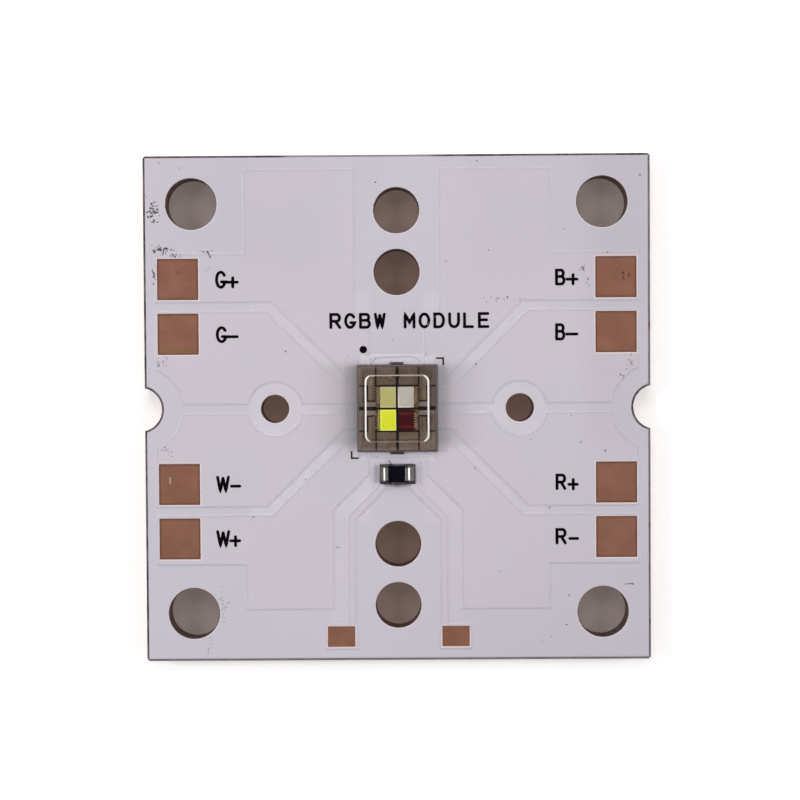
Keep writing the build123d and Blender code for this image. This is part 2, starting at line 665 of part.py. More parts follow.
# Every piece gets its label and its own file
for piece_name, piece in pieces.items():
    piece.part.label = piece_name
    export_step(piece.part, "parts/" + piece_name + ".step")
    print(piece_name, len(piece.part.solids()), "solids", round(piece.part.volume, 4), "mm3")
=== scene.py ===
# %% [markdown]
# # An RGBW LED chip on its board, dressed in Blender
# The part is a square board with a copper core, white solder mask, ten bare copper pads and one LED package
# with four coloured dies under a clear cover. The solids come from the CAD frame. This lesson gives each of
# them its finish, and builds the small things again that a faceted solid can't show well: round bond wires,
# the rounded edge of the clear cover, solder menisci, ink strokes and dust.

# %% Load the frame
import math
import random

import bmesh
import bpy
from mathutils import Euler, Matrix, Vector
from mathutils.bvhtree import BVHTree


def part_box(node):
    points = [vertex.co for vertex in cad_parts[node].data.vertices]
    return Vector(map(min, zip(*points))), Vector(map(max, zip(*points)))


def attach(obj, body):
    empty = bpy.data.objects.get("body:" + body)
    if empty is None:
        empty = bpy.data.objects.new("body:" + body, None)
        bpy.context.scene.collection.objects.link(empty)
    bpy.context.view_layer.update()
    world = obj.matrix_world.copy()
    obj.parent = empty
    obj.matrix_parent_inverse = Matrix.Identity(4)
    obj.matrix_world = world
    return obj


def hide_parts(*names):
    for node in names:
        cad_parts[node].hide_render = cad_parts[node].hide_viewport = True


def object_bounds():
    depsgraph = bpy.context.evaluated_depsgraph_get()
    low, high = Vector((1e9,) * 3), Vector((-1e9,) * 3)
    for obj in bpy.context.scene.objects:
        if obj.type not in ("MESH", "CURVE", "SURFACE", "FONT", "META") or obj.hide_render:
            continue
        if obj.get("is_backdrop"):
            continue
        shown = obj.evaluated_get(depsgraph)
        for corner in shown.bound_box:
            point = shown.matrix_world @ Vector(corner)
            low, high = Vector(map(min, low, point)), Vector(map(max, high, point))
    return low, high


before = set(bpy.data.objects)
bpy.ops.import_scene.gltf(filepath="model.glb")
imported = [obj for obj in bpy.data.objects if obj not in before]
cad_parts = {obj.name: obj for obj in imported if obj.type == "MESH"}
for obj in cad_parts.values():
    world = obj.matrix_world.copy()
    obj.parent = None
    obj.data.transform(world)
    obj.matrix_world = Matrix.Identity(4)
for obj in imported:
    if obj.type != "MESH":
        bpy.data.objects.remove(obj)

MM = 0.001
cad_low, cad_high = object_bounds()
print("solids from the frame:", len(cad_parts))
print("board, mm:", [round(side / MM, 2) for side in cad_high - cad_low])

# %% [markdown]
# ## The camera
# A catalogue photograph of a board is taken from straight above. Here the camera hangs only 106 mm over the
# board, which is why the holes show a sliver of wall on the sides away from the middle, and it leans about
# one degree. Three small angles are easier to read here than a tracking constraint.

# %% Camera over the board
def place_object(name, data):
    made = bpy.data.objects.new(name, data)
    bpy.context.scene.collection.objects.link(made)
    return made


camera_data = bpy.data.cameras.new("photo_camera")
camera_data.sensor_width = 36.0
camera_data.lens = 64.575
camera_data.clip_start = 0.005
camera_data.clip_end = 10.0
camera = place_object("photo_camera", camera_data)
camera.location = Vector((0.71693, 2.82119, 106.51436)) * MM
camera.rotation_euler = Euler([math.radians(turn) for turn in (-1.2157, 0.2785, -0.3589)], "XYZ")
bpy.context.scene.camera = camera
bpy.context.scene.view_settings.view_transform = "Standard"
print("camera height, mm:", round(camera.location.z / MM, 1))

# %% [markdown]
# ## Node helpers
# Every finish below is a small tree of nodes. Adding a node takes three lines each time: make it, set it,
# link it. One helper does all three, so that a material reads like a recipe. Where an input is given as a
# socket it is linked, and where it is given as a number it is typed in. The sums have short names, and
# because a socket knows which tree it belongs to, they need to be told nothing but their values.

# %% One node, set and linked
def add_node(tree, kind, inputs=None, **settings):
    made = tree.nodes.new(kind)
    for name, value in settings.items():
        setattr(made, name, value)
    for name, value in (inputs or {}).items():
        if isinstance(value, bpy.types.NodeSocket):
            tree.links.new(value, made.inputs[name])
        else:
            made.inputs[name].default_value = value
    return made


# %% Sums on node values
def tree_of(*values):
    """The node tree of the first socket among some values."""
    return next(value.id_data for value in values if isinstance(value, bpy.types.NodeSocket))


def calc(operation, first, second=0.0):
    inputs = {0: first, 1: second}
    return add_node(tree_of(first, second), "ShaderNodeMath", inputs, operation=operation).outputs[0]


def plus(first, second):
    return calc("ADD", first, second)


def minus(first, second):
    return calc("SUBTRACT", first, second)


def times(first, second):
    return calc("MULTIPLY", first, second)


def most(first, second):
    return calc("MAXIMUM", first, second)


def least(first, second):
    return calc("MINIMUM", first, second)


def unsigned(value):
    return calc("ABSOLUTE", value)


def split(vector):
    return add_node(tree_of(vector), "ShaderNodeSeparateXYZ", {0: vector}).outputs


print("sums: plus, minus, times, most, least, unsigned, split")


# %% Fades and blends
def fade(value, start, end, low=0.0, high=1.0):
    """A smooth step: low before start, high after end."""
    inputs = {"Value": value, "From Min": start, "From Max": end, "To Min": low, "To Max": high}
    return add_node(tree_of(value), "ShaderNodeMapRange", inputs, interpolation_type="SMOOTHSTEP").outputs[0]


def blend(factor, first, second, how="MIX"):
    """The first colour where factor is 0, the second where it is 1."""
    tree = tree_of(factor, first, second)
    made = add_node(tree, "ShaderNodeMix", {0: factor}, data_type="RGBA", blend_type=how)
    for place, colour in ((6, first), (7, second)):
        if isinstance(colour, bpy.types.NodeSocket):
            tree.links.new(colour, made.inputs[place])
        else:
            made.inputs[place].default_value = (*colour, 1.0)
    return made.outputs[2]


def paint(colour, amount, share, new):
    """Lays a share of a new colour over the old one, where amount is 1."""
    return blend(times(amount, share), colour, new)


print("colours: fade, blend, paint")

# %% Where a point is, in millimetres
MIDDLE = (0.0, 0.0)


def place_of(tree):
    """Position on the object in mm, whole and as x, y, z. The board's middle is zero."""
    spot = add_node(tree, "ShaderNodeTexCoord").outputs["Object"]
    spot = add_node(tree, "ShaderNodeVectorMath", {0: spot, "Scale": 1 / MM}, operation="SCALE").outputs[0]
    x, y, z = split(spot)
    return spot, x, y, z


def grain(spot, per_mm, detail=2.0, rough=0.5, stretch=None, shift=0.0):
    """Noise between 0 and 1. per_mm says how many blotches fit in a millimetre."""
    if stretch or shift:
        inputs = {"Vector": spot, "Scale": stretch or (1.0, 1.0, 1.0), "Location": (shift, shift * 0.7, 0.0)}
        spot = add_node(tree_of(spot), "ShaderNodeMapping", inputs).outputs[0]
    inputs = {"Vector": spot, "Scale": per_mm, "Detail": detail, "Roughness": rough}
    return add_node(tree_of(spot), "ShaderNodeTexNoise", inputs).outputs[0]


def outside_box(x, y, centre, half):
    """How far a point lies outside a rectangle, in mm. Negative inside."""
    across = minus(unsigned(minus(x, centre[0])), half[0])
    along = minus(unsigned(minus(y, centre[1])), half[1])
    return most(across, along)


def away_from(x, y, centre):
    """Distance from an upright axis, in mm."""
    across, along = minus(x, centre[0]), minus(y, centre[1])
    return calc("SQRT", plus(times(across, across), times(along, along)))


def bumps(height, depth_mm, strength=1.0, under=None):
    """A normal for a surface with fine relief, over another such normal if one is given."""
    inputs = {"Height": height, "Distance": depth_mm * MM, "Strength": strength}
    if under is not None:
        inputs["Normal"] = under
    return add_node(tree_of(height), "ShaderNodeBump", inputs).outputs[0]


def own_normal(out):
    """Which way the surface leans, in the object's own x, y and z."""
    return split(add_node(out.id_data, "ShaderNodeTexCoord").outputs["Normal"])


# %% Where a finish starts and ends
finishes = {}


def new_finish(name):
    """An empty material, kept in finishes. Gives its output node and the place of a point."""
    material = bpy.data.materials.new(name)
    material.use_nodes = True
    material.node_tree.nodes.clear()
    finishes[name] = material
    return add_node(material.node_tree, "ShaderNodeOutputMaterial"), *place_of(material.node_tree)


def finish_with(out, colour, roughness, normal=None, **sockets):
    """Puts a Principled shader at the end of a recipe."""
    tree = out.id_data
    shader = add_node(tree, "ShaderNodeBsdfPrincipled", {"Base Color": colour, "Roughness": roughness})
    if normal is not None:
        tree.links.new(normal, shader.inputs["Normal"])
    for name, value in sockets.items():
        shader.inputs[name.replace("_", " ")].default_value = value
    tree.links.new(shader.outputs[0], out.inputs[0])
    print(list(finishes)[-1], "finish, nodes:", len(tree.nodes))
    return shader


# %% [markdown]
# ## Light
# The photograph has soft light from both sides and a little from the far side, and almost none from straight
# above, where the camera hangs. That is why flat metal looks brown and dark while every slope that leans to
# the left or the right shines. A world that is pale at the horizon and dim overhead gives the same, and two
# side lamps and a far one draw the relief of the mask.

# %% World, pale at the horizon and dim overhead
HORIZON_LIGHT, ZENITH_LIGHT = 0.58, 0.18
world = bpy.data.worlds.new("studio")
world.use_nodes = True
bpy.context.scene.world = world
sky = world.node_tree
sky.nodes.clear()
upward = split(add_node(sky, "ShaderNodeTexCoord").outputs["Generated"])[2]
brightness = fade(upward, 0.35, 0.95, HORIZON_LIGHT, ZENITH_LIGHT)
studio = add_node(sky, "ShaderNodeBackground", {"Color": (1.0, 0.985, 0.99, 1.0), "Strength": brightness})
backdrop = add_node(sky, "ShaderNodeBackground", {"Color": (1.0, 1.0, 1.0, 1.0), "Strength": 1.0})
seen = add_node(sky, "ShaderNodeLightPath").outputs["Is Camera Ray"]
either = add_node(sky, "ShaderNodeMixShader", {0: seen, 1: studio.outputs[0], 2: backdrop.outputs[0]})
add_node(sky, "ShaderNodeOutputWorld", {"Surface": either.outputs[0]})
print("world strength from", HORIZON_LIGHT, "down to", ZENITH_LIGHT, "overhead")

# %% Side lamps
LAMP_REACH = 330.0  # from the board's middle to each lamp, in mm


def soft_lamp(name, azimuth, elevation, share, side_mm):
    """A square lamp that aims at the board. share is its part of the light on the board."""
    data = bpy.data.lights.new(name, "AREA")
    data.size = side_mm * MM
    # a small square lamp gives power * sin(elevation) / (pi * reach^2), and an even world gives pi
    rise = math.sin(math.radians(elevation))
    data.energy = share * math.pi * math.pi * (LAMP_REACH * MM) ** 2 / rise
    lamp = place_object(name, data)
    turn, lift = math.radians(azimuth), math.radians(elevation)
    lamp.location = Vector((math.cos(turn) * math.cos(lift), math.sin(turn) * math.cos(lift), math.sin(lift)))
    lamp.location *= LAMP_REACH * MM
    lamp.rotation_euler = lamp.location.to_track_quat("Z", "Y").to_euler()
    print(name, "at", [round(part / MM) for part in lamp.location], "watts", round(data.energy, 3))


soft_lamp("left_lamp", 172, 35, 0.25, 90)
soft_lamp("right_lamp", 4, 35, 0.21, 90)
soft_lamp("far_lamp", 95, 48, 0.19, 140)

# %% [markdown]
# ## Floor
# The floor is white, and the shadow of the board stays on it. Under the board itself it is a taupe patch, so
# that the ten holes don't look down on bright white. One material does both, by how far a point lies from the
# board's middle. Little light comes down the holes, so the patch glows a little, and the lamps don't reach
# far, so the white floor glows more the farther it is. Only the rays that show the floor see that glow: seen
# directly, in a gloss or through the clear cover. The board isn't lit by it.

# %% Floor with the taupe patch under the board
out, spot, x, y, *_ = new_finish("floor_paint")
patch = fade(outside_box(x, y, MIDDLE, (17.05, 17.2)), 0.0, 0.1)  # 0 under the board, 1 on the open floor
taupe = blend(grain(spot, 0.5), (0.385, 0.312, 0.292), (0.430, 0.350, 0.330))
# painted shade under the board: the patch is darker under the middle column, and darker still under the
# middle row
middle_column = fade(unsigned(x), 3.5, 3.0)
inner_holes = fade(unsigned(y), 12.4, 12.0)
shade = blend(inner_holes, (0.84, 0.74, 0.69), (0.65, 0.52, 0.45))
taupe = blend(middle_column, taupe, blend(1.0, taupe, shade, "MULTIPLY"))
middle_row = fade(unsigned(y), 2.5, 2.0)
taupe = blend(middle_row, taupe, (0.30, 0.19, 0.147))
dimmed = blend(1.0, taupe, (0.42, 0.42, 0.42), "MULTIPLY")
paper = finish_with(out, blend(patch, dimmed, (0.93, 0.93, 0.93)), 0.9, Specular_IOR_Level=0.1)
ray = add_node(out.id_data, "ShaderNodeLightPath").outputs
seen_ray = most(most(ray["Is Camera Ray"], ray["Is Glossy Ray"]), ray["Is Transmission Ray"])
glow = fade(away_from(x, y, MIDDLE), 60.0, 300.0, 0.30, 1.0)
out.id_data.links.new(blend(patch, taupe, (1.0, 1.0, 1.0)), paper.inputs["Emission Color"])
out.id_data.links.new(times(seen_ray, glow), paper.inputs["Emission Strength"])

# %% Floor plate
FLOOR_HALF, FLOOR_HEIGHT = 1500.0, -0.01


def loose_mesh(name, corners, faces):
    mesh = bpy.data.meshes.new(name)
    mesh.from_pydata([Vector(corner) * MM for corner in corners], [], faces)
    return place_object(name, mesh)


square = ((-1, -1), (1, -1), (1, 1), (-1, 1))
floor_corners = [(side_x * FLOOR_HALF, side_y * FLOOR_HALF, FLOOR_HEIGHT) for side_x, side_y in square]
floor = loose_mesh("studio_floor", floor_corners, [(0, 1, 2, 3)])
floor.data.materials.append(finishes["floor_paint"])
floor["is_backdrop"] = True
print("floor, mm across:", 2 * FLOOR_HALF)

# %% [markdown]
# ## Places on the board
# Several finishes change at the holes and at the pads. The holes and the channels' pads are the same in all
# four quarters of the board, so their places are written once, for the right upper quarter, and are measured
# with x and y made positive. Only the two wire pads are on the near side alone.

# %% Holes and pads, in mm
HOLES = ((15.0, 15.0, 1.85), (0.0, 14.45, 1.65), (0.0, 9.95, 1.65), (8.955, 0.0, 1.0))  # x, y, radius
PAD_X, PAD_HALF = 16.0, 1.5
PAD_ROWS, PAD_STEP = 7.5, 2.0  # the middle of a pair of pads, and half the way between the two
WIRE_PAD, WIRE_PAD_HALF = (4.2, -16.75), (1.0, 0.75)
LED_HALF = (2.9, 3.15)  # half the sides of the ceramic plate
SENSOR_Y = -4.8


def from_holes(side_x, side_y):
    """How far a point lies outside the nearest hole."""
    nearest = None
    for x, y, radius in HOLES:
        far = minus(away_from(side_x, side_y, (x, y)), radius)
        nearest = least(nearest, far) if nearest else far
    return nearest


def from_pads(side_x, y):
    """How far a point lies outside the nearest pad."""
    from_pair = unsigned(minus(unsigned(y), PAD_ROWS))
    channel_pad = outside_box(side_x, from_pair, (PAD_X, PAD_STEP), (PAD_HALF, PAD_HALF))
    return least(channel_pad, outside_box(side_x, y, WIRE_PAD, WIRE_PAD_HALF))


print("kinds of holes:", len(HOLES))

# %% [markdown]
# ## White solder mask
# Solder mask is a satin paint about 30 microns thick. Over the copper it stands a little higher and looks a
# touch warmer, and where it lies on bare laminate, in the channels between the tracks, it is cooler and
# paler. The board's far side, its right edge and its lower right corner get painted shade, a little greyer.
# All of that is position: height tells copper from laminate, and x and y tell the rest.

# %% Mask: tones of copper and laminate
out, spot, x, y, z = new_finish("white_mask")
side_x, side_y = unsigned(x), unsigned(y)
raised = fade(z, 1.545, 1.598)
colour = blend(raised, (0.583, 0.560, 0.632), (0.606, 0.562, 0.622))
channels = fade(outside_box(side_x, y, (6.4, 0.0), (4.2, 8.2)), 0.5, -0.1)
tracks = fade(outside_box(side_x, y, (4.2, -10.3), (0.62, 5.2)), 0.3, -0.1)
channels = times(most(channels, times(tracks, 0.5)), minus(1.0, raised))
beside = minus(side_x, LED_HALF[0])
level_with = fade(unsigned(minus(y, 0.25)), 3.5, 2.5)
beside_led = times(level_with, fade(beside, 3.2, 1.0))
channels = times(channels, minus(1.0, beside_led))
streaky = fade(grain(spot, 1.1, 4.0, 0.65), 0.35, 0.60, 0.45, 1.0)
colour = paint(colour, channels, streaky, (0.665, 0.622, 0.685))
print("mask nodes so far:", len(out.id_data.nodes))

# %% Mask: clouds, and painted shade on the far side and the right edge
# painted shade: greyer towards the far side, more at the sides than in the middle
top = fade(y, 5.0, 13.0)
top = times(top, fade(side_x, 3.0, 7.0, 0.04, 0.17))
colour = blend(top, colour, (0.42, 0.385, 0.45))
# painted shade along the right edge
right_edge = times(fade(x, 12.5, 15.0), fade(y, -4.5, -1.5))
colour = paint(colour, right_edge, 0.22, (0.42, 0.36, 0.38))
corner = fade(away_from(x, y, (-4.0, -3.0)), 1.6, 0.3)
colour = paint(colour, corner, 0.22, (0.42, 0.38, 0.41))
cloud = fade(grain(spot, 0.16, 3.0), 0.3, 0.7)
colour = paint(colour, cloud, 0.45, (0.580, 0.543, 0.600))
warm = fade(grain(spot, 0.11, 2.0, shift=9.0), 0.42, 0.62)
colour = paint(colour, warm, 0.35, (0.622, 0.556, 0.608))
speck = fade(grain(spot, 3.5, 3.0, 0.6), 0.60, 0.80)
colour = paint(colour, speck, 0.14, (0.46, 0.43, 0.47))
# painted shade: greyer towards the lower right corner
low_right = fade(minus(x, y), 8.0, 38.0)
colour = paint(colour, low_right, 0.26, (0.42, 0.385, 0.45))
print("mask nodes so far:", len(out.id_data.nodes))

# %% [markdown]
# The LED's shadow is painted onto the mask as a grey band on both sides of it, darker at the foot of the
# ceramic. In front of the LED and behind it the mask is painted lighter, a painted highlight, and round the
# ceramic itself a painted contact shadow is nearly black. A distance from a rectangle draws each of them.

# %% Mask: painted shadow beside the LED
# painted shadow of the LED on both sides of it, darker at the foot of the ceramic
on_left = fade(x, 1.0, -1.0)
led_foot_shadow = plus(fade(beside, 1.5, 0.6, 0.0, 0.12), fade(beside, 0.6, 0.05, 0.0, 0.20))
led_foot_shadow = blend(on_left, fade(beside, 1.3, 0.5, 0.0, 0.07), led_foot_shadow)
led_painted_shadow = plus(fade(beside, 4.2, 0.2, 0.0, 0.30), led_foot_shadow)
led_painted_shadow = times(led_painted_shadow, level_with)
colour = blend(led_painted_shadow, colour, blend(on_left, (0.17, 0.147, 0.158), (0.165, 0.160, 0.140)))
for middle, half, amount in (((0.0, 3.56), (2.6, 0.25), 0.32), ((0.0, -3.48), (2.6, 0.24), 0.35)):
    # painted highlight: the mask is painted lighter in front of the LED and behind it
    lit = fade(outside_box(x, y, middle, half), 0.25, -0.10)
    colour = paint(colour, lit, amount, (0.88, 0.855, 0.90))

# painted contact shadow, nearly black, round the ceramic and its tabs
contact_shadow = least(outside_box(x, y, MIDDLE, LED_HALF), outside_box(x, side_y, (-0.04, 3.2), (0.46, 0.13)))
contact_shadow = fade(contact_shadow, 0.085, 0.03)
colour = paint(colour, contact_shadow, 0.85, (0.060, 0.047, 0.045))
print("mask nodes so far:", len(out.id_data.nodes))

# %% Mask: darker at the sensor's near and far edges, and painted shade at its left end
below = plus(plus(y, 5.92), times(side_x, -0.18))
below = times(fade(below, 0.0, 0.34), fade(outside_box(x, y, (0.0, -5.4), (1.05, 0.60)), 0.05, -0.15))
above = fade(outside_box(x, y, (-0.02, -4.17), (0.40, 0.02)), 0.15, 0.0)
sensor_dark_band = times(most(below, above), fade(grain(spot, 5.0, 3.0), 0.25, 0.60, 0.86, 1.0))
colour = paint(colour, sensor_dark_band, 0.92, (0.040, 0.036, 0.039))
# painted shade beside the sensor's left end
sensor_left_shade = fade(outside_box(x, y, (-1.48, SENSOR_Y), (0.15, 0.62)), 0.18, -0.10)
colour = paint(colour, sensor_left_shade, 0.40, (0.17, 0.165, 0.160))
print("mask nodes so far:", len(out.id_data.nodes))

# %% [markdown]
# The steps at the tracks are soft because the paint ran over them, so a Bevel node rounds the shading of the
# sharp creases of the solid. The same softened normal tells which way a step leans, and the steps that lean
# to the near side and those that lean sideways get a little painted shade. Round every opening the mask ends
# in a thin paler, pinkish lip.

# %% Mask: steps and lips
STEP_SOFTNESS = 0.16
soft = add_node(out.id_data, "ShaderNodeBevel", {"Radius": STEP_SOFTNESS * MM}, samples=8).outputs[0]
lean = split(soft)
uneven = fade(grain(spot, 0.9, 3.0), 0.25, 0.60, 0.55, 1.0)
uneven = times(uneven, minus(1.0, times(beside_led, 0.6)))
# painted shade on steps that lean to the near side, and on those that lean sideways, more so towards the near
# side
near = times(fade(lean[1], -0.03, -0.30), uneven)
colour = paint(colour, near, 0.03, (0.22, 0.185, 0.225))
lower = fade(y, 3.0, -3.0, 0.35, 1.0)
sideways = times(fade(unsigned(lean[0]), 0.05, 0.32), uneven)
sideways = times(sideways, lower)
colour = paint(colour, sideways, 0.03, (0.24, 0.20, 0.245))
lip = fade(least(from_holes(side_x, side_y), from_pads(side_x, y)), 0.14, 0.05)
colour = paint(colour, lip, 0.70, (0.84, 0.70, 0.71))
print("mask nodes so far:", len(out.id_data.nodes))

# %% Mask: orange peel and shader
# beside the LED, where the painted shadow lies, the normal is turned back towards straight up
flattened = {0: fade(beside_led, 0.0, 1.0, 0.30, 0.65), 4: soft, 5: (0.0, 0.0, 1.0)}
flattened = add_node(out.id_data, "ShaderNodeMix", flattened, data_type="VECTOR").outputs[1]
soft = add_node(out.id_data, "ShaderNodeVectorMath", {0: flattened}, operation="NORMALIZE").outputs[0]
peel = grain(spot, 5.0, 2.0)
fine = grain(spot, 22.0, 1.0)
normal = bumps(peel, 0.006, 0.6, bumps(fine, 0.0015, 0.5, soft))
rough = plus(0.36, times(grain(spot, 1.3), 0.14))
finish_with(out, colour, rough, normal, Specular_IOR_Level=0.35)

# %% [markdown]
# ## Dark laminate and the copper core
# The insulation between core and tracks is a dark filled resin. It shows only as a thin line where the mask
# stops short of the board's edge, patchy where the router pulled at it. The core is copper that a router cut,
# so its walls carry upright tool marks and a brown tarnish, and the walls of the holes are painted dark:
# painted shade.

# %% Insulation
out, spot, x, y, *_ = new_finish("insulation")
patches = fade(grain(spot, 0.9, 4.0, 0.65), 0.35, 0.65)
colour = blend(patches, (0.030, 0.021, 0.024), (0.150, 0.118, 0.125))
middle = fade(unsigned(plus(x, 2.7)), 5.6, 5.0)
middle = times(middle, fade(y, 18.0, 18.3))
colour = paint(colour, middle, 0.55, (0.42, 0.39, 0.43))
pale = most(fade(x, 18.1, 18.3), fade(y, -18.1, -18.3))
colour = paint(colour, pale, 0.5, (0.26, 0.225, 0.235))
red = fade(grain(spot, 0.7, 3.0, 0.6, shift=7.0), 0.58, 0.70)
side = fade(unsigned(x), 18.0, 18.3)
colour = paint(colour, red, side, (0.16, 0.035, 0.022))
normal = bumps(grain(spot, 9.0, 3.0), 0.02, 0.7)
finish_with(out, colour, 0.75, normal)

# %% Copper core
out, spot, x, y, *_ = new_finish("copper_plate")
marks = grain(spot, 6.0, 3.0, 0.6, stretch=(1.0, 1.0, 0.12))
tarnish = fade(grain(spot, 0.8, 3.0), 0.35, 0.70)
colour = blend(tarnish, (0.33, 0.165, 0.105), (0.19, 0.105, 0.078))
colour = paint(colour, fade(marks, 0.5, 0.8), 0.4, (0.50, 0.30, 0.20))
# painted shade: the walls of the holes are painted dark
shade = fade(from_holes(unsigned(x), unsigned(y)), 0.16, 0.09)
colour = paint(colour, shade, 0.82, (0.060, 0.034, 0.030))
normal = bumps(marks, 0.02, 0.8)
rough = fade(marks, 0.2, 0.8, 0.55, 0.38)
finish_with(out, colour, rough, normal, Metallic=0.6)

# %% [markdown]
# ## Bare pads
# The ten pads are bare copper under a thin dull coat: brown, with soft brush streaks, darker where the mask's
# step keeps the light off. Each pad differs a bit. One has an olive stain along its lower side, two have a
# cluster of dark scratches from a probe, and one a pale line.

# %% Pad finish
out, spot, x, y, *_ = new_finish("track_copper")
streaks = grain(spot, 2.2, 4.0, 0.6, stretch=(0.25, 2.6, 1.0))
blotch = grain(spot, 0.55, 3.0, 0.5, shift=3.0)
colour = blend(fade(blotch, 0.35, 0.65), (0.264, 0.117, 0.073), (0.300, 0.138, 0.090))
colour = paint(colour, fade(streaks, 0.45, 0.75), 0.10, (0.345, 0.170, 0.118))
from_pair = unsigned(minus(unsigned(y), PAD_ROWS))
rim = outside_box(unsigned(x), from_pair, (PAD_X, PAD_STEP), (PAD_HALF, PAD_HALF))
rim = plus(rim, times(grain(spot, 2.5), 0.10))
shade = times(fade(rim, -0.16, 0.02), fade(from_pair, 8.0, 7.0))
colour = paint(colour, shade, 0.55, (0.085, 0.036, 0.024))
olive = fade(outside_box(x, y, (-16.1, 4.33), (1.1, 0.12)), 0.12, -0.08)
olive = times(olive, fade(grain(spot, 2.4, 2.0, shift=5.0), 0.36, 0.56))
colour = paint(colour, olive, 0.8, (0.235, 0.150, 0.046))
worn = most(fade(away_from(x, y, (16.55, 9.6)), 0.75, 0.15),
            fade(away_from(x, y, (-15.9, 10.1)), 0.45, 0.10, 0.0, 0.7))
cuts = grain(spot, 5.5, 5.0, 0.7, stretch=(1.0, 0.45, 1.0))
worn = times(worn, fade(cuts, 0.50, 0.59))
colour = paint(colour, worn, 0.85, (0.07, 0.030, 0.028))
fleck = fade(outside_box(x, y, (-16.69, -5.2), (0.01, 0.2)), 0.07, 0.02)
colour = paint(colour, fleck, 0.7, (0.55, 0.46, 0.40))
normal = bumps(streaks, 0.003, 0.6, bumps(grain(spot, 14.0, 2.0), 0.002, 0.6))
rough = fade(streaks, 0.3, 0.8, 0.58, 0.44)
finish_with(out, colour, rough, normal, Metallic=0.35, Specular_IOR_Level=0.3)

# %% [markdown]
# ## Ink
# The dot at pin 1, the two corner marks and the channel letters are black marking ink. Ink soaks a little at
# its edge, is slightly brown where it is thin, and is more matt than the mask.

# %% Ink finish
out, spot, x, y, *_ = new_finish("black_ink")
thin = fade(grain(spot, 3.5, 3.0, 0.6), 0.45, 0.75)
colour = blend(times(thin, 0.6), (0.0008, 0.0006, 0.0012), (0.010, 0.008, 0.009))
near_led = fade(outside_box(x, y, MIDDLE, (3.5, 3.8)), 0.1, 0.0)
colour = paint(colour, near_led, 0.6, (0.055, 0.030, 0.026))
normal = bumps(grain(spot, 14.0, 2.0), 0.004, 0.7)
finish_with(out, colour, 0.6, normal, Specular_IOR_Level=0.06)

# %% [markdown]
# ## The package: ceramic and plated deck
# The ceramic plate is grey-brown. Seen from above its bare border is a dark plum grey, and in the gaps
# between the plated lands, under the clear cover, it is painted nearly black: painted shade. The lands are
# thin plating, brown grey and a little rippled, with swirls where silicone touched them. The same tree can
# tell border from gap by position alone.

# %% Ceramic
out, spot, x, y, z = new_finish("led_ceramic")
speck = grain(spot, 14.0, 3.0, 0.6)
wall = blend(speck, (0.15, 0.130, 0.135), (0.24, 0.215, 0.215))
top = blend(speck, (0.095, 0.073, 0.076), (0.135, 0.108, 0.110))
edge = fade(outside_box(x, y, MIDDLE, LED_HALF), -0.050, -0.025)
top = blend(times(edge, 0.7), top, (0.055, 0.042, 0.040))
# painted shade: nearly black in the gaps under the cover
under_cover = fade(outside_box(x, y, MIDDLE, (2.80, 3.05)), 0.03, -0.03)
top = blend(under_cover, top, (0.0020, 0.0008, 0.0004))
tab = fade(unsigned(y), 3.14, 3.16)
colour = blend(most(tab, fade(z, 2.12, 2.149)), wall, top)
normal = bumps(speck, 0.004, 0.6)
finish_with(out, colour, 0.7, normal, Specular_IOR_Level=0.03)

# %% [markdown]
# A Bevel node's normal tells where the plating's edges are, and they are painted dark, painted shade that
# widens the dark gaps between the lands. Under the flange of the cover the tone is colder, and the border of
# the package is paler on the left.

# %% Plating under the cover
WINDOW_MIDDLE, WINDOW_HALF = (-0.015, 0.005), (2.33, 2.435)
FLANGE_HALF = (2.83, 3.08)
out, spot, x, y, *_ = new_finish("led_plating")
wash = grain(spot, 1.1, 3.0, 0.55)
colour = blend(fade(wash, 0.3, 0.7), (0.085, 0.058, 0.040), (0.126, 0.090, 0.065))
# painted shade along the edges of the lands
softened = add_node(out.id_data, "ShaderNodeBevel", {"Radius": 0.045 * MM}, samples=8).outputs[0]
edge_shade = fade(split(softened)[2], 0.985, 0.90)
colour = paint(colour, edge_shade, 0.90, (0.010, 0.006, 0.003))
window = outside_box(x, y, WINDOW_MIDDLE, WINDOW_HALF)
flange = fade(window, -0.05, 0.05)
tilted = blend(fade(y, -3.0, 3.0), (1.34, 1.43, 1.62), (0.90, 0.96, 1.10))
colour = blend(flange, colour, blend(1.0, colour, tilted, "MULTIPLY"))
border = fade(outside_box(x, y, MIDDLE, FLANGE_HALF), -0.30, -0.06)
border = times(border, fade(x, 2.6, -2.8, 0.25, 0.75))
colour = blend(border, colour, (0.190, 0.155, 0.138))
side_x, side_y = unsigned(x), unsigned(y)
print("plating nodes so far:", len(out.id_data.nodes))

# %% [markdown]
# The leads get painted light, standing in for light that falls through the window's side walls and reaches
# them once more, most of all on the two lands in the middle. Painted shade draws dark lines at the foot of
# those walls, along the near wall and round the dies.

# %% Plating: painted light on the leads, and lines of painted shade
# painted light on the leads inside the window
leads = times(fade(side_x, 1.70, 1.95), minus(1.0, flange))
leads = times(leads, fade(x, 2.0, -2.0, 0.30, 0.62))
colour = blend(leads, colour, (0.200, 0.150, 0.112))
# painted light on the two lands in the middle
middle = fade(outside_box(side_x, side_y, (1.90, 0.31), (0.32, 0.15)), 0.04, -0.04)
colour = paint(colour, middle, 0.8, (0.215, 0.170, 0.145))
lower = times(fade(y, -1.5, -1.7), minus(1.0, flange))
colour = paint(colour, lower, 0.35, (0.150, 0.115, 0.080))
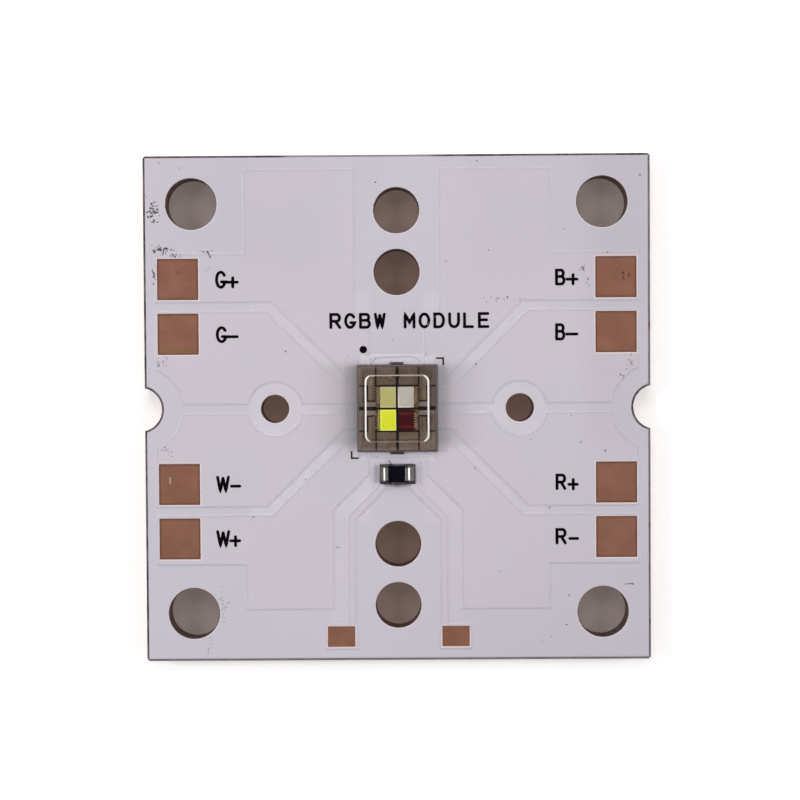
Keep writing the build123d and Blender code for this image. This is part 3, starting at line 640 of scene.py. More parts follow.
# lines of painted shade: at the foot of the window's walls, along the near wall and round the dies
foot = times(fade(unsigned(minus(window, 0.12)), 0.07, 0.03), fade(side_y, 2.45, 2.25))
near_line = times(fade(unsigned(plus(y, 2.27)), 0.08, 0.03), fade(side_x, 2.1, 1.8))
under_dies = fade(outside_box(x, y, (-0.03, -0.01), (1.25, 1.60)), 0.03, -0.03)
olive = fade(outside_box(x, side_y, (-0.03, 0.80), (1.47, 0.80)), 0.03, -0.03)
colour = paint(colour, olive, 0.45, (0.135, 0.095, 0.030))
for line, amount in ((foot, 0.60), (near_line, 0.40), (under_dies, 0.95)):
    colour = paint(colour, line, amount, (0.012, 0.0065, 0.0020))
print("plating nodes so far:", len(out.id_data.nodes))

# %% Plating: swirls and shader
swirl_path = times(plus(x, times(y, 0.6)), 4.0)
bend = times(grain(spot, 1.6, 2.0, shift=2.0), 9.0)
swirl = calc("SINE", plus(swirl_path, bend))
spots = fade(grain(spot, 1.4, 2.0, shift=11.0), 0.55, 0.70)
swirl = times(fade(swirl, 0.75, 1.0), spots)
colour = paint(colour, swirl, 0.5, (0.27, 0.21, 0.165))
normal = bumps(wash, 0.02, 0.7, bumps(grain(spot, 18.0, 2.0), 0.002, 0.6))
rough = fade(wash, 0.3, 0.8, 0.42, 0.58)
finish_with(out, colour, rough, normal, Metallic=0.45, Specular_IOR_Level=0.15)

# %% Gold contacts and vias
out, spot, *_ = new_finish("gold_contacts")
tone = grain(spot, 4.0, 3.0, 0.6)
colour = blend(fade(tone, 0.3, 0.7), (0.50, 0.34, 0.13), (0.66, 0.47, 0.20))
rough = fade(tone, 0.3, 0.7, 0.28, 0.42)
finish_with(out, colour, rough, bumps(tone, 0.01, 0.7), Metallic=0.85)

# %% Solder
out, spot, x, y, *_ = new_finish("solder")
tone = fade(grain(spot, 6.0, 4.0, 0.65), 0.35, 0.65)
colour = blend(tone, (0.100, 0.090, 0.092), (0.260, 0.240, 0.245))
colour = blend(fade(x, 0.0, -0.5, 0.0, 0.55), colour, (0.110, 0.105, 0.100))
dark = fade(unsigned(plus(y, 4.79)), 0.46, 0.56)
colour = paint(colour, dark, 0.85, (0.045, 0.038, 0.042))
ends = fade(unsigned(plus(x, 0.02)), 1.20, 1.29)
colour = paint(colour, ends, 0.6, (0.055, 0.050, 0.050))
finish_with(out, colour, 0.6, bumps(tone, 0.02, 0.7), Metallic=0.25, Specular_IOR_Level=0.25)

# %% [markdown]
# ## Four dies
# Each die is a crystal with a frame round its face, less than a tenth of a millimetre wide: paler than the
# face, and on the red die darker. The green die looks pale olive, the blue one pale grey, and the red one
# dark with a purple middle. The fourth is a blue die under a yellow phosphor plate. The frame is drawn by
# distance from the die's own edge, and its border is never quite even, because a grain moves it.

# %% Faces and frames
DIE_FACES = {  # x0, y0, x1, y1 of each face, in mm
    "green_die": (-1.245, 0.070, -0.105, 1.565),
    "blue_die": (0.050, 0.070, 1.205, 1.565),
    "red_die": (0.080, -1.595, 1.300, -0.090),
    "phosphor_plate": (-1.235, -1.595, -0.095, -0.085),
    "white_die": (-1.390, -1.595, -0.090, -0.080),
}


def die_frame(spot, x, y, die, width, soft=0.03):
    """1 on the frame of a die, 0 on its face."""
    x0, y0, x1, y1 = DIE_FACES[die]
    half = ((x1 - x0) / 2 - width, (y1 - y0) / 2 - width)
    far = outside_box(x, y, ((x0 + x1) / 2, (y0 + y1) / 2), half)
    far = plus(far, times(minus(grain(spot, 9.0), 0.5), 0.03))
    return fade(far, -soft, soft)


print("die faces:", len(DIE_FACES))

# %% Green crystal
out, spot, x, y, *_ = new_finish("green_crystal")
face = blend(grain(spot, 3.0, 3.0), (0.380, 0.360, 0.128), (0.418, 0.400, 0.160))
colour = blend(times(die_frame(spot, x, y, "green_die", 0.08), 0.8), face, (0.50, 0.485, 0.28))
finish_with(out, colour, 0.4, bumps(grain(spot, 20.0), 0.002, 0.5), Specular_IOR_Level=0.1)

# %% Blue crystal
out, spot, x, y, *_ = new_finish("blue_crystal")
face = blend(grain(spot, 3.0, 3.0), (0.400, 0.374, 0.352), (0.434, 0.408, 0.392))
frame_amount = die_frame(spot, x, y, "blue_die", 0.08)
lit = fade(plus(x, y), 1.7, 0.6)
bright = blend(lit, (0.44, 0.39, 0.34), (0.70, 0.64, 0.60))
colour = blend(times(frame_amount, 0.8), face, bright)
# the same crystal lies under the phosphor, and its bare ledge is painted yellow: painted light from the
# phosphor
ledge = fade(y, 0.02, -0.05)
colour = blend(ledge, colour, (0.285, 0.262, 0.030))
finish_with(out, colour, 0.4, bumps(grain(spot, 20.0), 0.002, 0.5), Specular_IOR_Level=0.1)

# %% Red crystal
out, spot, x, y, *_ = new_finish("red_crystal")
cloud = grain(spot, 1.5, 2.0)
face = blend(cloud, (0.040, 0.0004, 0.0006), (0.046, 0.0008, 0.0016))
x0, y0, x1, y1 = DIE_FACES["red_die"]
middle = fade(away_from(x, y, ((x0 + x1) / 2, (y0 + y1) / 2)), 0.45, 0.10)
face = paint(face, middle, 0.75, (0.038, 0.0010, 0.012))
inward = minus((y1 - y0) / 2, unsigned(minus(y, (y0 + y1) / 2)))
bars = fade(unsigned(minus(inward, 0.29)), 0.13, 0.05)
face = paint(face, bars, 0.8, (0.080, 0.010, 0.010))
frame_amount = die_frame(spot, x, y, "red_die", 0.05)
right = fade(x, 1.12, 1.24)
face = paint(face, right, 0.8, (0.10, 0.035, 0.018))
colour = blend(times(frame_amount, 0.7), face, (0.012, 0.003, 0.003))
finish_with(out, colour, 0.3, bumps(grain(spot, 16.0), 0.002, 0.5), Specular_IOR_Level=0.1)

# %% Yellow phosphor
out, spot, x, y, *_ = new_finish("yellow_phosphor")
grit = grain(spot, 26.0, 3.0, 0.7)
face = blend(grit, (0.56, 0.60, 0.014), (0.68, 0.71, 0.042))
frame_amount = die_frame(spot, x, y, "phosphor_plate", 0.07)
colour = blend(times(frame_amount, 0.55), face, (0.76, 0.77, 0.30))
finish_with(out, colour, 0.8, bumps(grit, 0.006, 0.8), Specular_IOR_Level=0.05)

# %% [markdown]
# ## The sensor
# The temperature sensor is a black glazed chip with tin-plated ends. The glaze is smooth. The tin's outer top
# edges lean to the side lamps and shine as two upright strips, and a painted highlight, a paler tone on those
# slopes, helps them. The strips end where flux has dulled the metal. The bond wires' gold is painted darker
# at their feet, under the window's edge: painted shade.

# %% Black glaze
out, spot, *_ = new_finish("sensor_ceramic")
colour = blend(grain(spot, 7.0, 3.0), (0.0008, 0.0006, 0.0030), (0.0030, 0.0024, 0.0070))
finish_with(out, colour, 0.3, bumps(grain(spot, 11.0), 0.004, 0.6), Specular_IOR_Level=0.15)

# %% Tin
out, spot, x, y, *_ = new_finish("sensor_tin")
tone = grain(spot, 4.0, 2.0)
colour = blend(tone, (0.36, 0.355, 0.34), (0.44, 0.435, 0.42))
# painted highlight: a paler tone on the slopes that lean to the side lamps
lean = times(own_normal(out)[0], calc("SIGN", x))
slope_highlight = times(fade(lean, 0.30, 0.40), fade(lean, 0.62, 0.52))
colour = blend(slope_highlight, colour, (0.54, 0.54, 0.52))
dark = fade(unsigned(minus(y, SENSOR_Y)), 0.42, 0.49)
colour = paint(colour, dark, 0.93, (0.035, 0.032, 0.034))
finish_with(out, colour, 0.36, bumps(grain(spot, 7.0, 1.0), 0.0015, 0.3), Metallic=0.9)

# %% Bond wire gold
out, spot, x, *_ = new_finish("bond_gold")
# painted shade: the gold is darker at the wires' feet, under the window's edge
outer = fade(unsigned(plus(x, 0.03)), 1.38, 1.52)
colour = blend(outer, (0.56, 0.44, 0.25), (0.25, 0.185, 0.105))
rough = plus(0.34, times(grain(spot, 12.0), 0.14))
finish_with(out, colour, rough, bumps(grain(spot, 30.0), 0.001, 0.4), Metallic=0.6)

# %% [markdown]
# ## Clear silicone
# The cover is clear, so a Principled shader with full transmission bends what lies under it. A lamp can't
# reach through a bending surface, so the shader is mixed with a Transparent one for shadow rays, and the dies
# below stay lit. The rim of the window gets a painted highlight: a white shader is mixed in where it leans to
# the side lamps, creamy and thin at the far side, and hardly at all at the near side. A normal that belongs
# to the object tells the sides apart. The flange's cut edge is clear but matt, so that it has no glints.

# %% Clear shader
CLEAR_TINT = (0.985, 0.975, 0.955)


def clear_shader(out, tint, roughness, height=None, depth_mm=0.0):
    """Bends light like silicone, and lets the lamps' shadow rays straight through."""
    tree = out.id_data
    clear = add_node(tree, "ShaderNodeBsdfPrincipled", {"Base Color": (*tint, 1.0), "Roughness": roughness})
    clear.inputs["Transmission Weight"].default_value = 1.0
    clear.inputs["IOR"].default_value = 1.41
    clear.inputs["Specular IOR Level"].default_value = 0.25
    if height is not None:
        tree.links.new(bumps(height, depth_mm, 0.5), clear.inputs["Normal"])
    open_way = add_node(tree, "ShaderNodeBsdfTransparent", {0: (0.90, 0.89, 0.87, 1.0)})
    shadow = add_node(tree, "ShaderNodeLightPath").outputs["Is Shadow Ray"]
    both = add_node(tree, "ShaderNodeMixShader", {0: shadow, 1: clear.outputs[0], 2: open_way.outputs[0]})
    tree.links.new(both.outputs[0], out.inputs[0])
    print(list(finishes)[-1], "finish, nodes:", len(tree.nodes))
    return both


# %% Clear silicone and its matt edge
out, spot, *_ = new_finish("clear_silicone")
clear_shader(out, CLEAR_TINT, 0.02, grain(spot, 1.2, 2.0), 0.01)

out, spot, *_ = new_finish("silicone_edge")
clear_shader(out, (0.93, 0.91, 0.89), 0.5, grain(spot, 12.0), 0.002)

# %% Rim with a painted highlight
out, spot, *_ = new_finish("silicone_rim")
lean = own_normal(out)
# painted highlight: white where the rim leans to the side lamps, thin at the far side, faint at the near side
sideways = most(fade(lean[0], -0.10, -0.35), fade(lean[0], 0.04, 0.26))
far = times(fade(lean[1], 0.45, 0.68), 0.62)
near = times(fade(lean[1], -0.12, -0.45), 0.16)
amount = most(sideways, most(far, near))
amount = times(amount, fade(grain(spot, 6.0, 3.0), 0.15, 0.40, 0.75, 1.0))
both = clear_shader(out, CLEAR_TINT, 0.02)
tone = blend(sideways, (0.88, 0.74, 0.60), (1.0, 0.985, 0.97))
rim_highlight = add_node(out.id_data, "ShaderNodeBsdfPrincipled", {"Base Color": tone, "Roughness": 0.5})
mixed = add_node(out.id_data, "ShaderNodeMixShader", {0: amount, 1: both.outputs[0], 2: rim_highlight.outputs[0]})
out.id_data.links.new(mixed.outputs[0], out.inputs[0])
print("rim nodes:", len(out.id_data.nodes))

# %% Put every finish on its slot
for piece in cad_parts.values():
    for material_slot in piece.material_slots:
        material_slot.material = finishes[material_slot.material.name.split(".")[0]]
print("finishes:", len(finishes))

# %% [markdown]
# ## Building pieces from loops
# The cover, the dies, the sensor and its ends are all stacks of rounded rectangles. One helper makes a loop
# of points at a height, and another joins a stack of loops into a closed skin. That gives smooth rounded
# edges with few lines, and the corner radius can change on the way up.

# %% Loop helpers
def rounded_loop(middle, half, radius, height, steps=8):
    """Points round a rounded rectangle, anticlockwise from the right side's lower corner."""
    points = []
    for quarter, (side_x, side_y) in enumerate(((1, 1), (-1, 1), (-1, -1), (1, -1))):
        for step in range(steps + 1):
            turn = math.radians(90 * quarter + 90 * step / steps)
            points.append((
                middle[0] + side_x * (half[0] - radius) + radius * math.cos(turn),
                middle[1] + side_y * (half[1] - radius) + radius * math.sin(turn),
                height,
            ))
    return points


def skin(name, loops, slot_name, node, sharp=40.0):
    """Joins loops into a closed skin that takes the place of a CAD node."""
    count = len(loops[0])
    corners = [point for loop in loops for point in loop]
    faces = [tuple(reversed(range(count)))]
    for row in range(len(loops) - 1):
        for spot in range(count):
            following = (spot + 1) % count
            low, high = row * count, (row + 1) * count
            faces.append((low + spot, low + following, high + following, high + spot))
    faces.append(tuple(range((len(loops) - 1) * count, len(loops) * count)))
    return dress(loose_mesh(name, corners, faces), slot_name, node, sharp)


def dress(made, slot_name, node=None, sharp=40.0, material=None):
    """Smooth shading, finish, body and slot for a piece. One that stands for a CAD node replaces it."""
    mesh = made.data
    mesh.validate()
    mesh.shade_smooth()
    mesh.set_sharp_from_angle(angle=math.radians(sharp))
    mesh.materials.append(material or finishes[slot_name])
    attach(made, "root")
    if node:
        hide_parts(node)
    return made


def quarter_turns(count):
    """Pairs that go from (0, 0) to (1, 1) along a quarter circle: out from the wall, up to the top."""
    turns = [math.radians(90 * step / count) for step in range(count + 1)]
    return [(1 - math.cos(turn), math.sin(turn)) for turn in turns]


print("corners of a loop:", len(rounded_loop(MIDDLE, LED_HALF, 0.06, 0.0)))

# %% [markdown]
# ## The clear cover
# A silicone cover is moulded over the dies: a thin flange on the deck and a raised block with a flat window.
# The block's upper edge is rounded with a radius of 0.14 mm. That edge draws the bright frame round the dies,
# so it gets its own material with a painted highlight, and six rings of faces so that it is really round. The
# flange's cut edge gets the matt one.

# %% Cover with its rounded window edge
DECK_TOP, FLANGE_TOP, COVER_TOP = 2.19, 2.33, 2.85
FLANGE_CORNER, FLANGE_EDGE = 0.06, 0.035
WINDOW_CORNER, WINDOW_EDGE, WINDOW_FOOT = 0.50, 0.14, 0.05


def grown(half, more):
    return half[0] + more, half[1] + more


def cover_loops():
    loops = [rounded_loop(MIDDLE, FLANGE_HALF, FLANGE_CORNER, DECK_TOP)]
    for inward, upward_part in quarter_turns(3):
        height = FLANGE_TOP - FLANGE_EDGE * (1 - upward_part)
        loops.append(rounded_loop(MIDDLE, grown(FLANGE_HALF, -FLANGE_EDGE * inward), FLANGE_CORNER, height))
    loops.append(rounded_loop(WINDOW_MIDDLE, grown(WINDOW_HALF, WINDOW_FOOT), 0.52, FLANGE_TOP))
    loops.append(rounded_loop(WINDOW_MIDDLE, WINDOW_HALF, WINDOW_CORNER, FLANGE_TOP + WINDOW_FOOT))
    for inward, upward_part in quarter_turns(6):
        drawn = WINDOW_EDGE * inward
        height = COVER_TOP - WINDOW_EDGE * (1 - upward_part)
        corner_here = WINDOW_CORNER - drawn * 0.6
        loops.append(rounded_loop(WINDOW_MIDDLE, grown(WINDOW_HALF, -drawn), corner_here, height))
    return loops


cover = skin("clear_cover", cover_loops(), "clear_silicone", "led_cover", sharp=30.0)
cover.data.materials.append(finishes["silicone_rim"])
cover.data.materials.append(finishes["silicone_edge"])
for panel in cover.data.polygons:
    height = panel.center.z / MM
    if COVER_TOP - WINDOW_EDGE < height < COVER_TOP * 0.9999 and len(panel.vertices) == 4:
        panel.material_index = 1
    elif DECK_TOP < height < FLANGE_TOP * 0.9999:
        panel.material_index = 2
kinds = [panel.material_index for panel in cover.data.polygons]
print("cover faces:", len(kinds), "on the rim:", kinds.count(1), "on the flange's edge:", kinds.count(2))

# %% [markdown]
# ## Bond wires
# Gold wires thinner than a hair join each die to its lead: six to a die. Each starts in a small flattened
# ball on the die's edge, bows over and comes down to the lead. They fan outwards from the middle. A tube that
# follows a curve of points is the honest way to build them, and a smooth curve through seven points keeps
# the bow of the solid.

# %% Wire helpers
def smooth_path(points, steps):
    """A curve through all the points, the Catmull-Rom way."""
    padded = [points[0]] + list(points) + [points[-1]]
    path = []
    for first, second, third, fourth in zip(padded, padded[1:], padded[2:], padded[3:]):
        for step in range(steps):
            share = step / steps
            path.append(0.5 * (
                2 * second + (third - first) * share
                + (2 * first - 5 * second + 4 * third - fourth) * share ** 2
                + (3 * second - 3 * third + fourth - first) * share ** 3
            ))
    return path + [points[-1]]


def join_rings(mesh, low, high):
    """Joins two closed rings of corners with four-sided faces."""
    for spot in range(len(low)):
        following = (spot + 1) % len(low)
        mesh.faces.new((low[spot], low[following], high[following], high[spot]))


def add_tube(mesh, path, radii, sides=10):
    """Adds a closed tube along a path that stays in one upright plane."""
    flat = path[-1] - path[0]
    across = Vector((-flat.y, flat.x, 0.0)).normalized()
    rings = []
    for spot, centre in enumerate(path):
        ahead = path[min(spot + 1, len(path) - 1)] - path[max(spot - 1, 0)]
        lift = ahead.normalized().cross(across).normalized()
        turns = [2 * math.pi * side / sides for side in range(sides)]
        rings.append([
            mesh.verts.new((centre + (across * math.cos(turn) + lift * math.sin(turn)) * radii[spot]) * MM)
            for turn in turns
        ])
    for low, high in zip(rings, rings[1:]):
        join_rings(mesh, low, high)
    mesh.faces.new(list(reversed(rings[0])))
    mesh.faces.new(rings[-1])


def from_bmesh(name, build):
    """A piece whose faces are added by a function of its own."""
    mesh = bpy.data.meshes.new(name)
    work = bmesh.new()
    build(work)
    bmesh.ops.recalc_face_normals(work, faces=work.faces)
    work.to_mesh(mesh)
    work.free()
    return place_object(name, mesh)


# %% Four combs of bond wires
DIE_TOP = 2.31
WIRE_COUNT, WIRE_PITCH, WIRE_MID_Y = 6, 0.185, 0.83
WIRE_RADIUS, WIRE_SLANT = 0.0185, 32.0
# which side of the middle in x and in y, and where in x the wires start
WIRE_PLACES = {
    "green": (-1, 1, -1.205),
    "blue": (1, 1, 1.165),
    "red": (1, -1, 1.26),
    "white": (-1, -1, -1.35),
}
# how far along and how high over the die's top, in mm
WIRE_PATH = ((0.0, 0.012), (0.012, 0.055), (0.10, 0.095), (0.20, 0.098), (0.36, 0.02), (0.49, -0.085),
             (0.545, -0.107))
BALL_HEIGHTS = (0.0, 0.006, 0.016, 0.026, 0.032)
BALL_RADII = (0.030, 0.036, 0.038, 0.030, 0.018)
BALL_TILT = 0.0005  # a ball's axis leans a little, because a tube needs a direction


def wire_comb(side, row, start_x):
    turn = math.radians(side * row * WIRE_SLANT)
    heading = Vector((side * math.cos(turn), side * math.sin(turn), 0.0))

    def build(work):
        for number in range(WIRE_COUNT):
            start_y = row * WIRE_MID_Y + (number - (WIRE_COUNT - 1) / 2) * WIRE_PITCH
            start = Vector((start_x, start_y, DIE_TOP))
            corners = [start + heading * reach + Vector((0, 0, rise)) for reach, rise in WIRE_PATH]
            path = smooth_path(corners, 5)
            add_tube(work, path, [WIRE_RADIUS] * len(path))
            ball = [start + Vector((0, 0, rise)) + heading * BALL_TILT * spot
                    for spot, rise in enumerate(BALL_HEIGHTS)]
            add_tube(work, ball, BALL_RADII, 14)

    return build


for colour_name, die_place in WIRE_PLACES.items():
    comb = from_bmesh(colour_name + "_bond_wires", wire_comb(*die_place))
    dress(comb, "bond_gold", colour_name + "_wires", 60.0)
    print(colour_name, "wires, faces:", len(comb.data.polygons))


# %% [markdown]
# ## Dies with broken edges
# A sawn crystal has edges a hundredth or two of a millimetre round, just enough to catch a fine line of
# light. Each die is a stack of rounded loops. Its outline is the one that its finish is drawn by, and the box
# of its solid gives the heights, so that it stands where the solid stands.

# %% Five die blocks
DIE_EDGE = 0.018


def edge_block(low, high, radius, rings=4):
    """Loops of a block with all its upright and upper and lower edges rounded."""
    middle = ((low[0] + high[0]) / 2, (low[1] + high[1]) / 2)
    half = ((high[0] - low[0]) / 2, (high[1] - low[1]) / 2)
    turns = quarter_turns(rings)
    levels = [(inward, low[2] + radius * (1 - upward)) for inward, upward in reversed(turns)]
    levels += [(inward, high[2] - radius * (1 - upward)) for inward, upward in turns]
    loops = []
    for inward, height in levels:
        drawn = radius * inward
        loops.append(rounded_loop(middle, grown(half, -drawn), max(radius - drawn * 0.7, 0.004), height, 5))
    return loops


def millimetres(node):
    """The lower and the upper corner of a solid's box."""
    return tuple(tuple(part / MM for part in corner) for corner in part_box(node))


DIE_SLOTS = {"green_die": "green_crystal", "blue_die": "blue_crystal", "red_die": "red_crystal",
             "phosphor_plate": "yellow_phosphor", "white_die": "blue_crystal"}
for die, (x0, y0, x1, y1) in DIE_FACES.items():
    low, high = millimetres(die)
    loops = edge_block((x0, y0, low[2]), (x1, y1, high[2]), DIE_EDGE, 3)
    skin(die + "_block", loops, DIE_SLOTS[die], die)
    print(die, "from", round(low[2], 3), "up to", round(high[2], 3))


# %% [markdown]
# ## The sensor chip, its ends and their solder
# The chip's body is a small block with broken edges. Each end is a cup of tin plating pulled over it. A round
# edge this small would show one thin glint, so the cup's outer top edge is a straight slope of 27 degrees,
# which leans to its side lamp as a whole and shines evenly. The solder is a meniscus: it climbs the end of
# the cup in a hollow curve and thins out to the edge of the pad. A grid of heights over the pad gives that
# curve directly.

# %% Sensor body
BODY_EDGE = 0.03
BODY_ENDS = (0.17, 0.13)  # the body stops inside the cups, or it would poke through their slopes
body_low, body_high = millimetres("sensor_body")
body_low = (body_low[0] + BODY_ENDS[0], *body_low[1:])
body_high = (body_high[0] - BODY_ENDS[1], *body_high[1:])
skin("thermistor_body", edge_block(body_low, body_high, BODY_EDGE), "sensor_ceramic", "sensor_body")
print("thermistor body, mm long:", round(body_high[0] - body_low[0], 3))

# %% End cups
SLOPE_TILT = 27.0


def end_cup(side, low, high, shoulder, slope_run):
    """Loops of an end cup. The shoulder is the round stretch outside the slope."""
    loops = []
    drop = slope_run * math.tan(math.radians(SLOPE_TILT))

    def loop(outer, inner, sides, height, radius):
        x0, x1 = (low[0] + outer, high[0] - inner) if side < 0 else (low[0] + inner, high[0] - outer)
        middle = ((x0 + x1) / 2, (low[1] + high[1]) / 2)
        loops.append(rounded_loop(middle, ((x1 - x0) / 2, (high[1] - low[1]) / 2 - sides), radius, height, 5))

    loop(0.03, 0.02, 0.03, low[2], 0.02)
    loop(0.0, 0.0, 0.0, low[2] + 0.03, 0.03)
    top = high[2]
    loop(0.0, 0.0, 0.0, top - drop - shoulder * 0.9, 0.03)
    loop(shoulder * 0.3, 0.0, 0.01, top - drop - shoulder * 0.35, 0.03)
    loop(shoulder, 0.0, 0.035, top - drop, 0.04)
    loop(shoulder + slope_run * 0.15, 0.0, 0.050, top - drop * 0.85, 0.05)
    loop(shoulder + slope_run * 0.85, 0.005, 0.105, top - drop * 0.15, 0.06)
    loop(shoulder + slope_run + 0.01, 0.02, 0.125, top, 0.06)
    loop(shoulder + slope_run + 0.025, 0.035, 0.140, top, 0.05)
    return loops


for side, word, shoulder, slope_run in ((-1, "left", 0.105, 0.070), (1, "right", 0.070, 0.100)):
    low, high = millimetres("sensor_cap_" + word)
    skin("tin_end_" + word, end_cup(side, low, high, shoulder, slope_run), "sensor_tin", "sensor_cap_" + word)
    print("tin end", word, "x from", round(low[0], 3), "to", round(high[0], 3))


# %% Solder menisci at the sensor
SOLDER_CLIMB, SOLDER_MOST, SOLDER_FILM = 0.34, 0.327, 0.012
SOLDER_HOLLOW = 2.2  # 1 would be a straight slope
BESIDE_CUP, INSIDE_CUP = 0.11, 0.09  # how far it runs beside the cup, and under the chip
GRID_COLUMNS, GRID_ROWS = 30, 44


def solder_height(side, low, high, cap_low, cap_high):
    """A function that gives the height of the meniscus over a point of its pad."""
    def height(x, y):
        beyond_x = max(0.0, (x - cap_high[0]) if side > 0 else (cap_low[0] - x))
        beyond_y = max(0.0, abs(y - (cap_low[1] + cap_high[1]) / 2) - (cap_high[1] - cap_low[1]) / 2)
        inner = max(0.0, (cap_low[0] - x) if side > 0 else (x - cap_high[0]))
        run_x = beyond_x / ((high[0] - cap_high[0]) if side > 0 else (cap_low[0] - low[0]))
        run = min(1.0, math.hypot(run_x, beyond_y / BESIDE_CUP * 1.15))
        climb = SOLDER_CLIMB * (1 - run) ** SOLDER_HOLLOW
        climb *= max(0.0, 1 - inner / INSIDE_CUP)
        return low[2] + SOLDER_FILM + max(0.0, min(climb, SOLDER_MOST))
    return height


def meniscus(side, word):
    low, high = millimetres("sensor_solder_" + word)
    height = solder_height(side, low, high, *millimetres("sensor_cap_" + word))

    def build(work):
        grid = []
        for column in range(GRID_COLUMNS + 1):
            x = low[0] + (high[0] - low[0]) * column / GRID_COLUMNS
            line = []
            for row in range(GRID_ROWS + 1):
                y = low[1] + (high[1] - low[1]) * row / GRID_ROWS
                line.append(work.verts.new(Vector((x, y, height(x, y))) * MM))
            grid.append(line)
        for left, right in zip(grid, grid[1:]):
            for row in range(GRID_ROWS):
                work.faces.new((left[row], right[row], right[row + 1], left[row + 1]))
        near_side = [line[0] for line in grid]
        far_side = [line[-1] for line in reversed(grid)]
        rim = near_side + grid[-1][1:-1] + far_side + grid[0][-2:0:-1]
        under = [work.verts.new((corner.co.x, corner.co.y, low[2] * MM)) for corner in rim]
        join_rings(work, rim, under)
        work.faces.new(under)

    made = from_bmesh("solder_meniscus_" + word, build)
    dress(made, "solder", "sensor_solder_" + word, 50.0)
    print("meniscus", word, "faces:", len(made.data.polygons))


meniscus(-1, "left")
meniscus(1, "right")

# %% [markdown]
# ## Printed letters
# Each pad has its channel's letter and sign beside it, and a plain legend is printed above the LED. The ink
# lies on a mask that isn't quite flat, so each stroke is a narrow ribbon with round ends whose points are
# dropped onto the mask. The letters are drawn as strokes, as a plotter pen draws them, because a type face
# wouldn't match the pen's even width.

# %% Stroke alphabet
STROKE_WIDTH = 0.21


def bow(middle, radii, start, end, steps=10):
    """Points on part of an ellipse, in a letter's own box, which is 1 by 1."""
    turns = [math.radians(start + (end - start) * step / steps) for step in range(steps + 1)]
    return [(middle[0] + radii[0] * math.cos(turn), middle[1] + radii[1] * math.sin(turn)) for turn in turns]


LETTERS = {
    "G": [bow((0.5, 0.5), (0.5, 0.5), 36, 325, 22) + [(1.0, 0.36), (0.58, 0.36)]],
    "W": [[(0.0, 1.0), (0.24, 0.0), (0.5, 0.92)], [(0.5, 0.92), (0.76, 0.0), (1.0, 1.0)]],
    "B": [[(0.0, 0.0), (0.0, 1.0), (0.6, 1.0)] + bow((0.62, 0.77), (0.30, 0.23), 90, -90)
          + [(0.0, 0.54)], [(0.6, 0.54)] + bow((0.66, 0.27), (0.34, 0.27), 90, -90) + [(0.0, 0.0)]],
    "R": [[(0.0, 0.0), (0.0, 1.0), (0.6, 1.0)] + bow((0.65, 0.74), (0.33, 0.26), 90, -90)
          + [(0.0, 0.48)], [(0.52, 0.48), (1.0, 0.0)]],
    "M": [[(0.0, 0.0), (0.0, 1.0), (0.5, 0.35), (1.0, 1.0), (1.0, 0.0)]],
    "O": [bow((0.5, 0.5), (0.5, 0.5), 90, 450, 24)],
    "U": [[(0.0, 1.0)] + bow((0.5, 0.42), (0.5, 0.42), 180, 360, 12) + [(1.0, 1.0)]],
    "L": [[(0.0, 1.0), (0.0, 0.0), (0.9, 0.0)]],
    "E": [[(0.95, 1.0), (0.0, 1.0), (0.0, 0.0), (0.95, 0.0)], [(0.0, 0.52), (0.8, 0.52)]],
    "D": [[(0.0, 0.0), (0.0, 1.0), (0.45, 1.0)] + bow((0.48, 0.5), (0.5, 0.5), 90, -90, 16) + [(0.0, 0.0)]],
}


def letter_strokes(letter, box):
    """The strokes of a letter, fitted into a box of x0, y0, x1, y1 in mm, pen width included."""
    inset = STROKE_WIDTH / 2
    x0, y0, x1, y1 = box[0] + inset, box[1] + inset, box[2] - inset, box[3] - inset
    return [[(x0 + (x1 - x0) * u, y0 + (y1 - y0) * v) for u, v in stroke] for stroke in LETTERS[letter]]


# %% Where the mask is under a point
mask_surface = BVHTree.FromObject(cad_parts["solder_mask"], bpy.context.evaluated_depsgraph_get())
MASK_TOP, ABOVE_ALL = 1.60, 5.0


def mask_height(x, y, around=0.05):
    """The mask's height under a point, or close beside it where that is higher."""
    highest = 0.0
    for step_x, step_y in ((0, 0), (around, 0), (-around, 0), (0, around), (0, -around)):
        hit = mask_surface.ray_cast(Vector((x + step_x, y + step_y, ABOVE_ALL)) * MM, Vector((0, 0, -1)))
        highest = max(highest, hit[0].z / MM if hit[0] else 0.0)
    return highest or MASK_TOP


heights = [round(mask_height(x, y), 3) for x, y in ((-9.0, 12.0), (0.0, -8.0))]
print("mask height over a track and beside it:", heights)

# %% Ribbons dropped on the mask
INK_LIFT, INK_THICK = 0.004, 0.010


def ribbon_outline(stroke, width):
    """Left and right edges of a stroke, and its two round ends."""
    points = [Vector((x, y)) for x, y in stroke]
    left, right = [], []
    for spot, point in enumerate(points):
        before = (point - points[spot - 1]).normalized() if spot else None
        after = (points[spot + 1] - point).normalized() if spot + 1 < len(points) else None
        ahead = ((before or after) + (after or before)).normalized()
        side = Vector((-ahead.y, ahead.x))
        bend = side.dot(Vector((-(after or before).y, (after or before).x)))
        reach = width / 2 / max(bend, 0.55)
        left.append(point + side * reach)
        right.append(point - side * reach)
    ends = []
    for point, towards in ((points[-1], points[-1] - points[-2]), (points[0], points[0] - points[1])):
        start = math.atan2(towards.y, towards.x) + math.pi / 2
        turns = [start - math.pi * step / 8 for step in range(1, 8)]
        ends.append([point + Vector((math.cos(turn), math.sin(turn))) * width / 2 for turn in turns])
    return left, right, ends


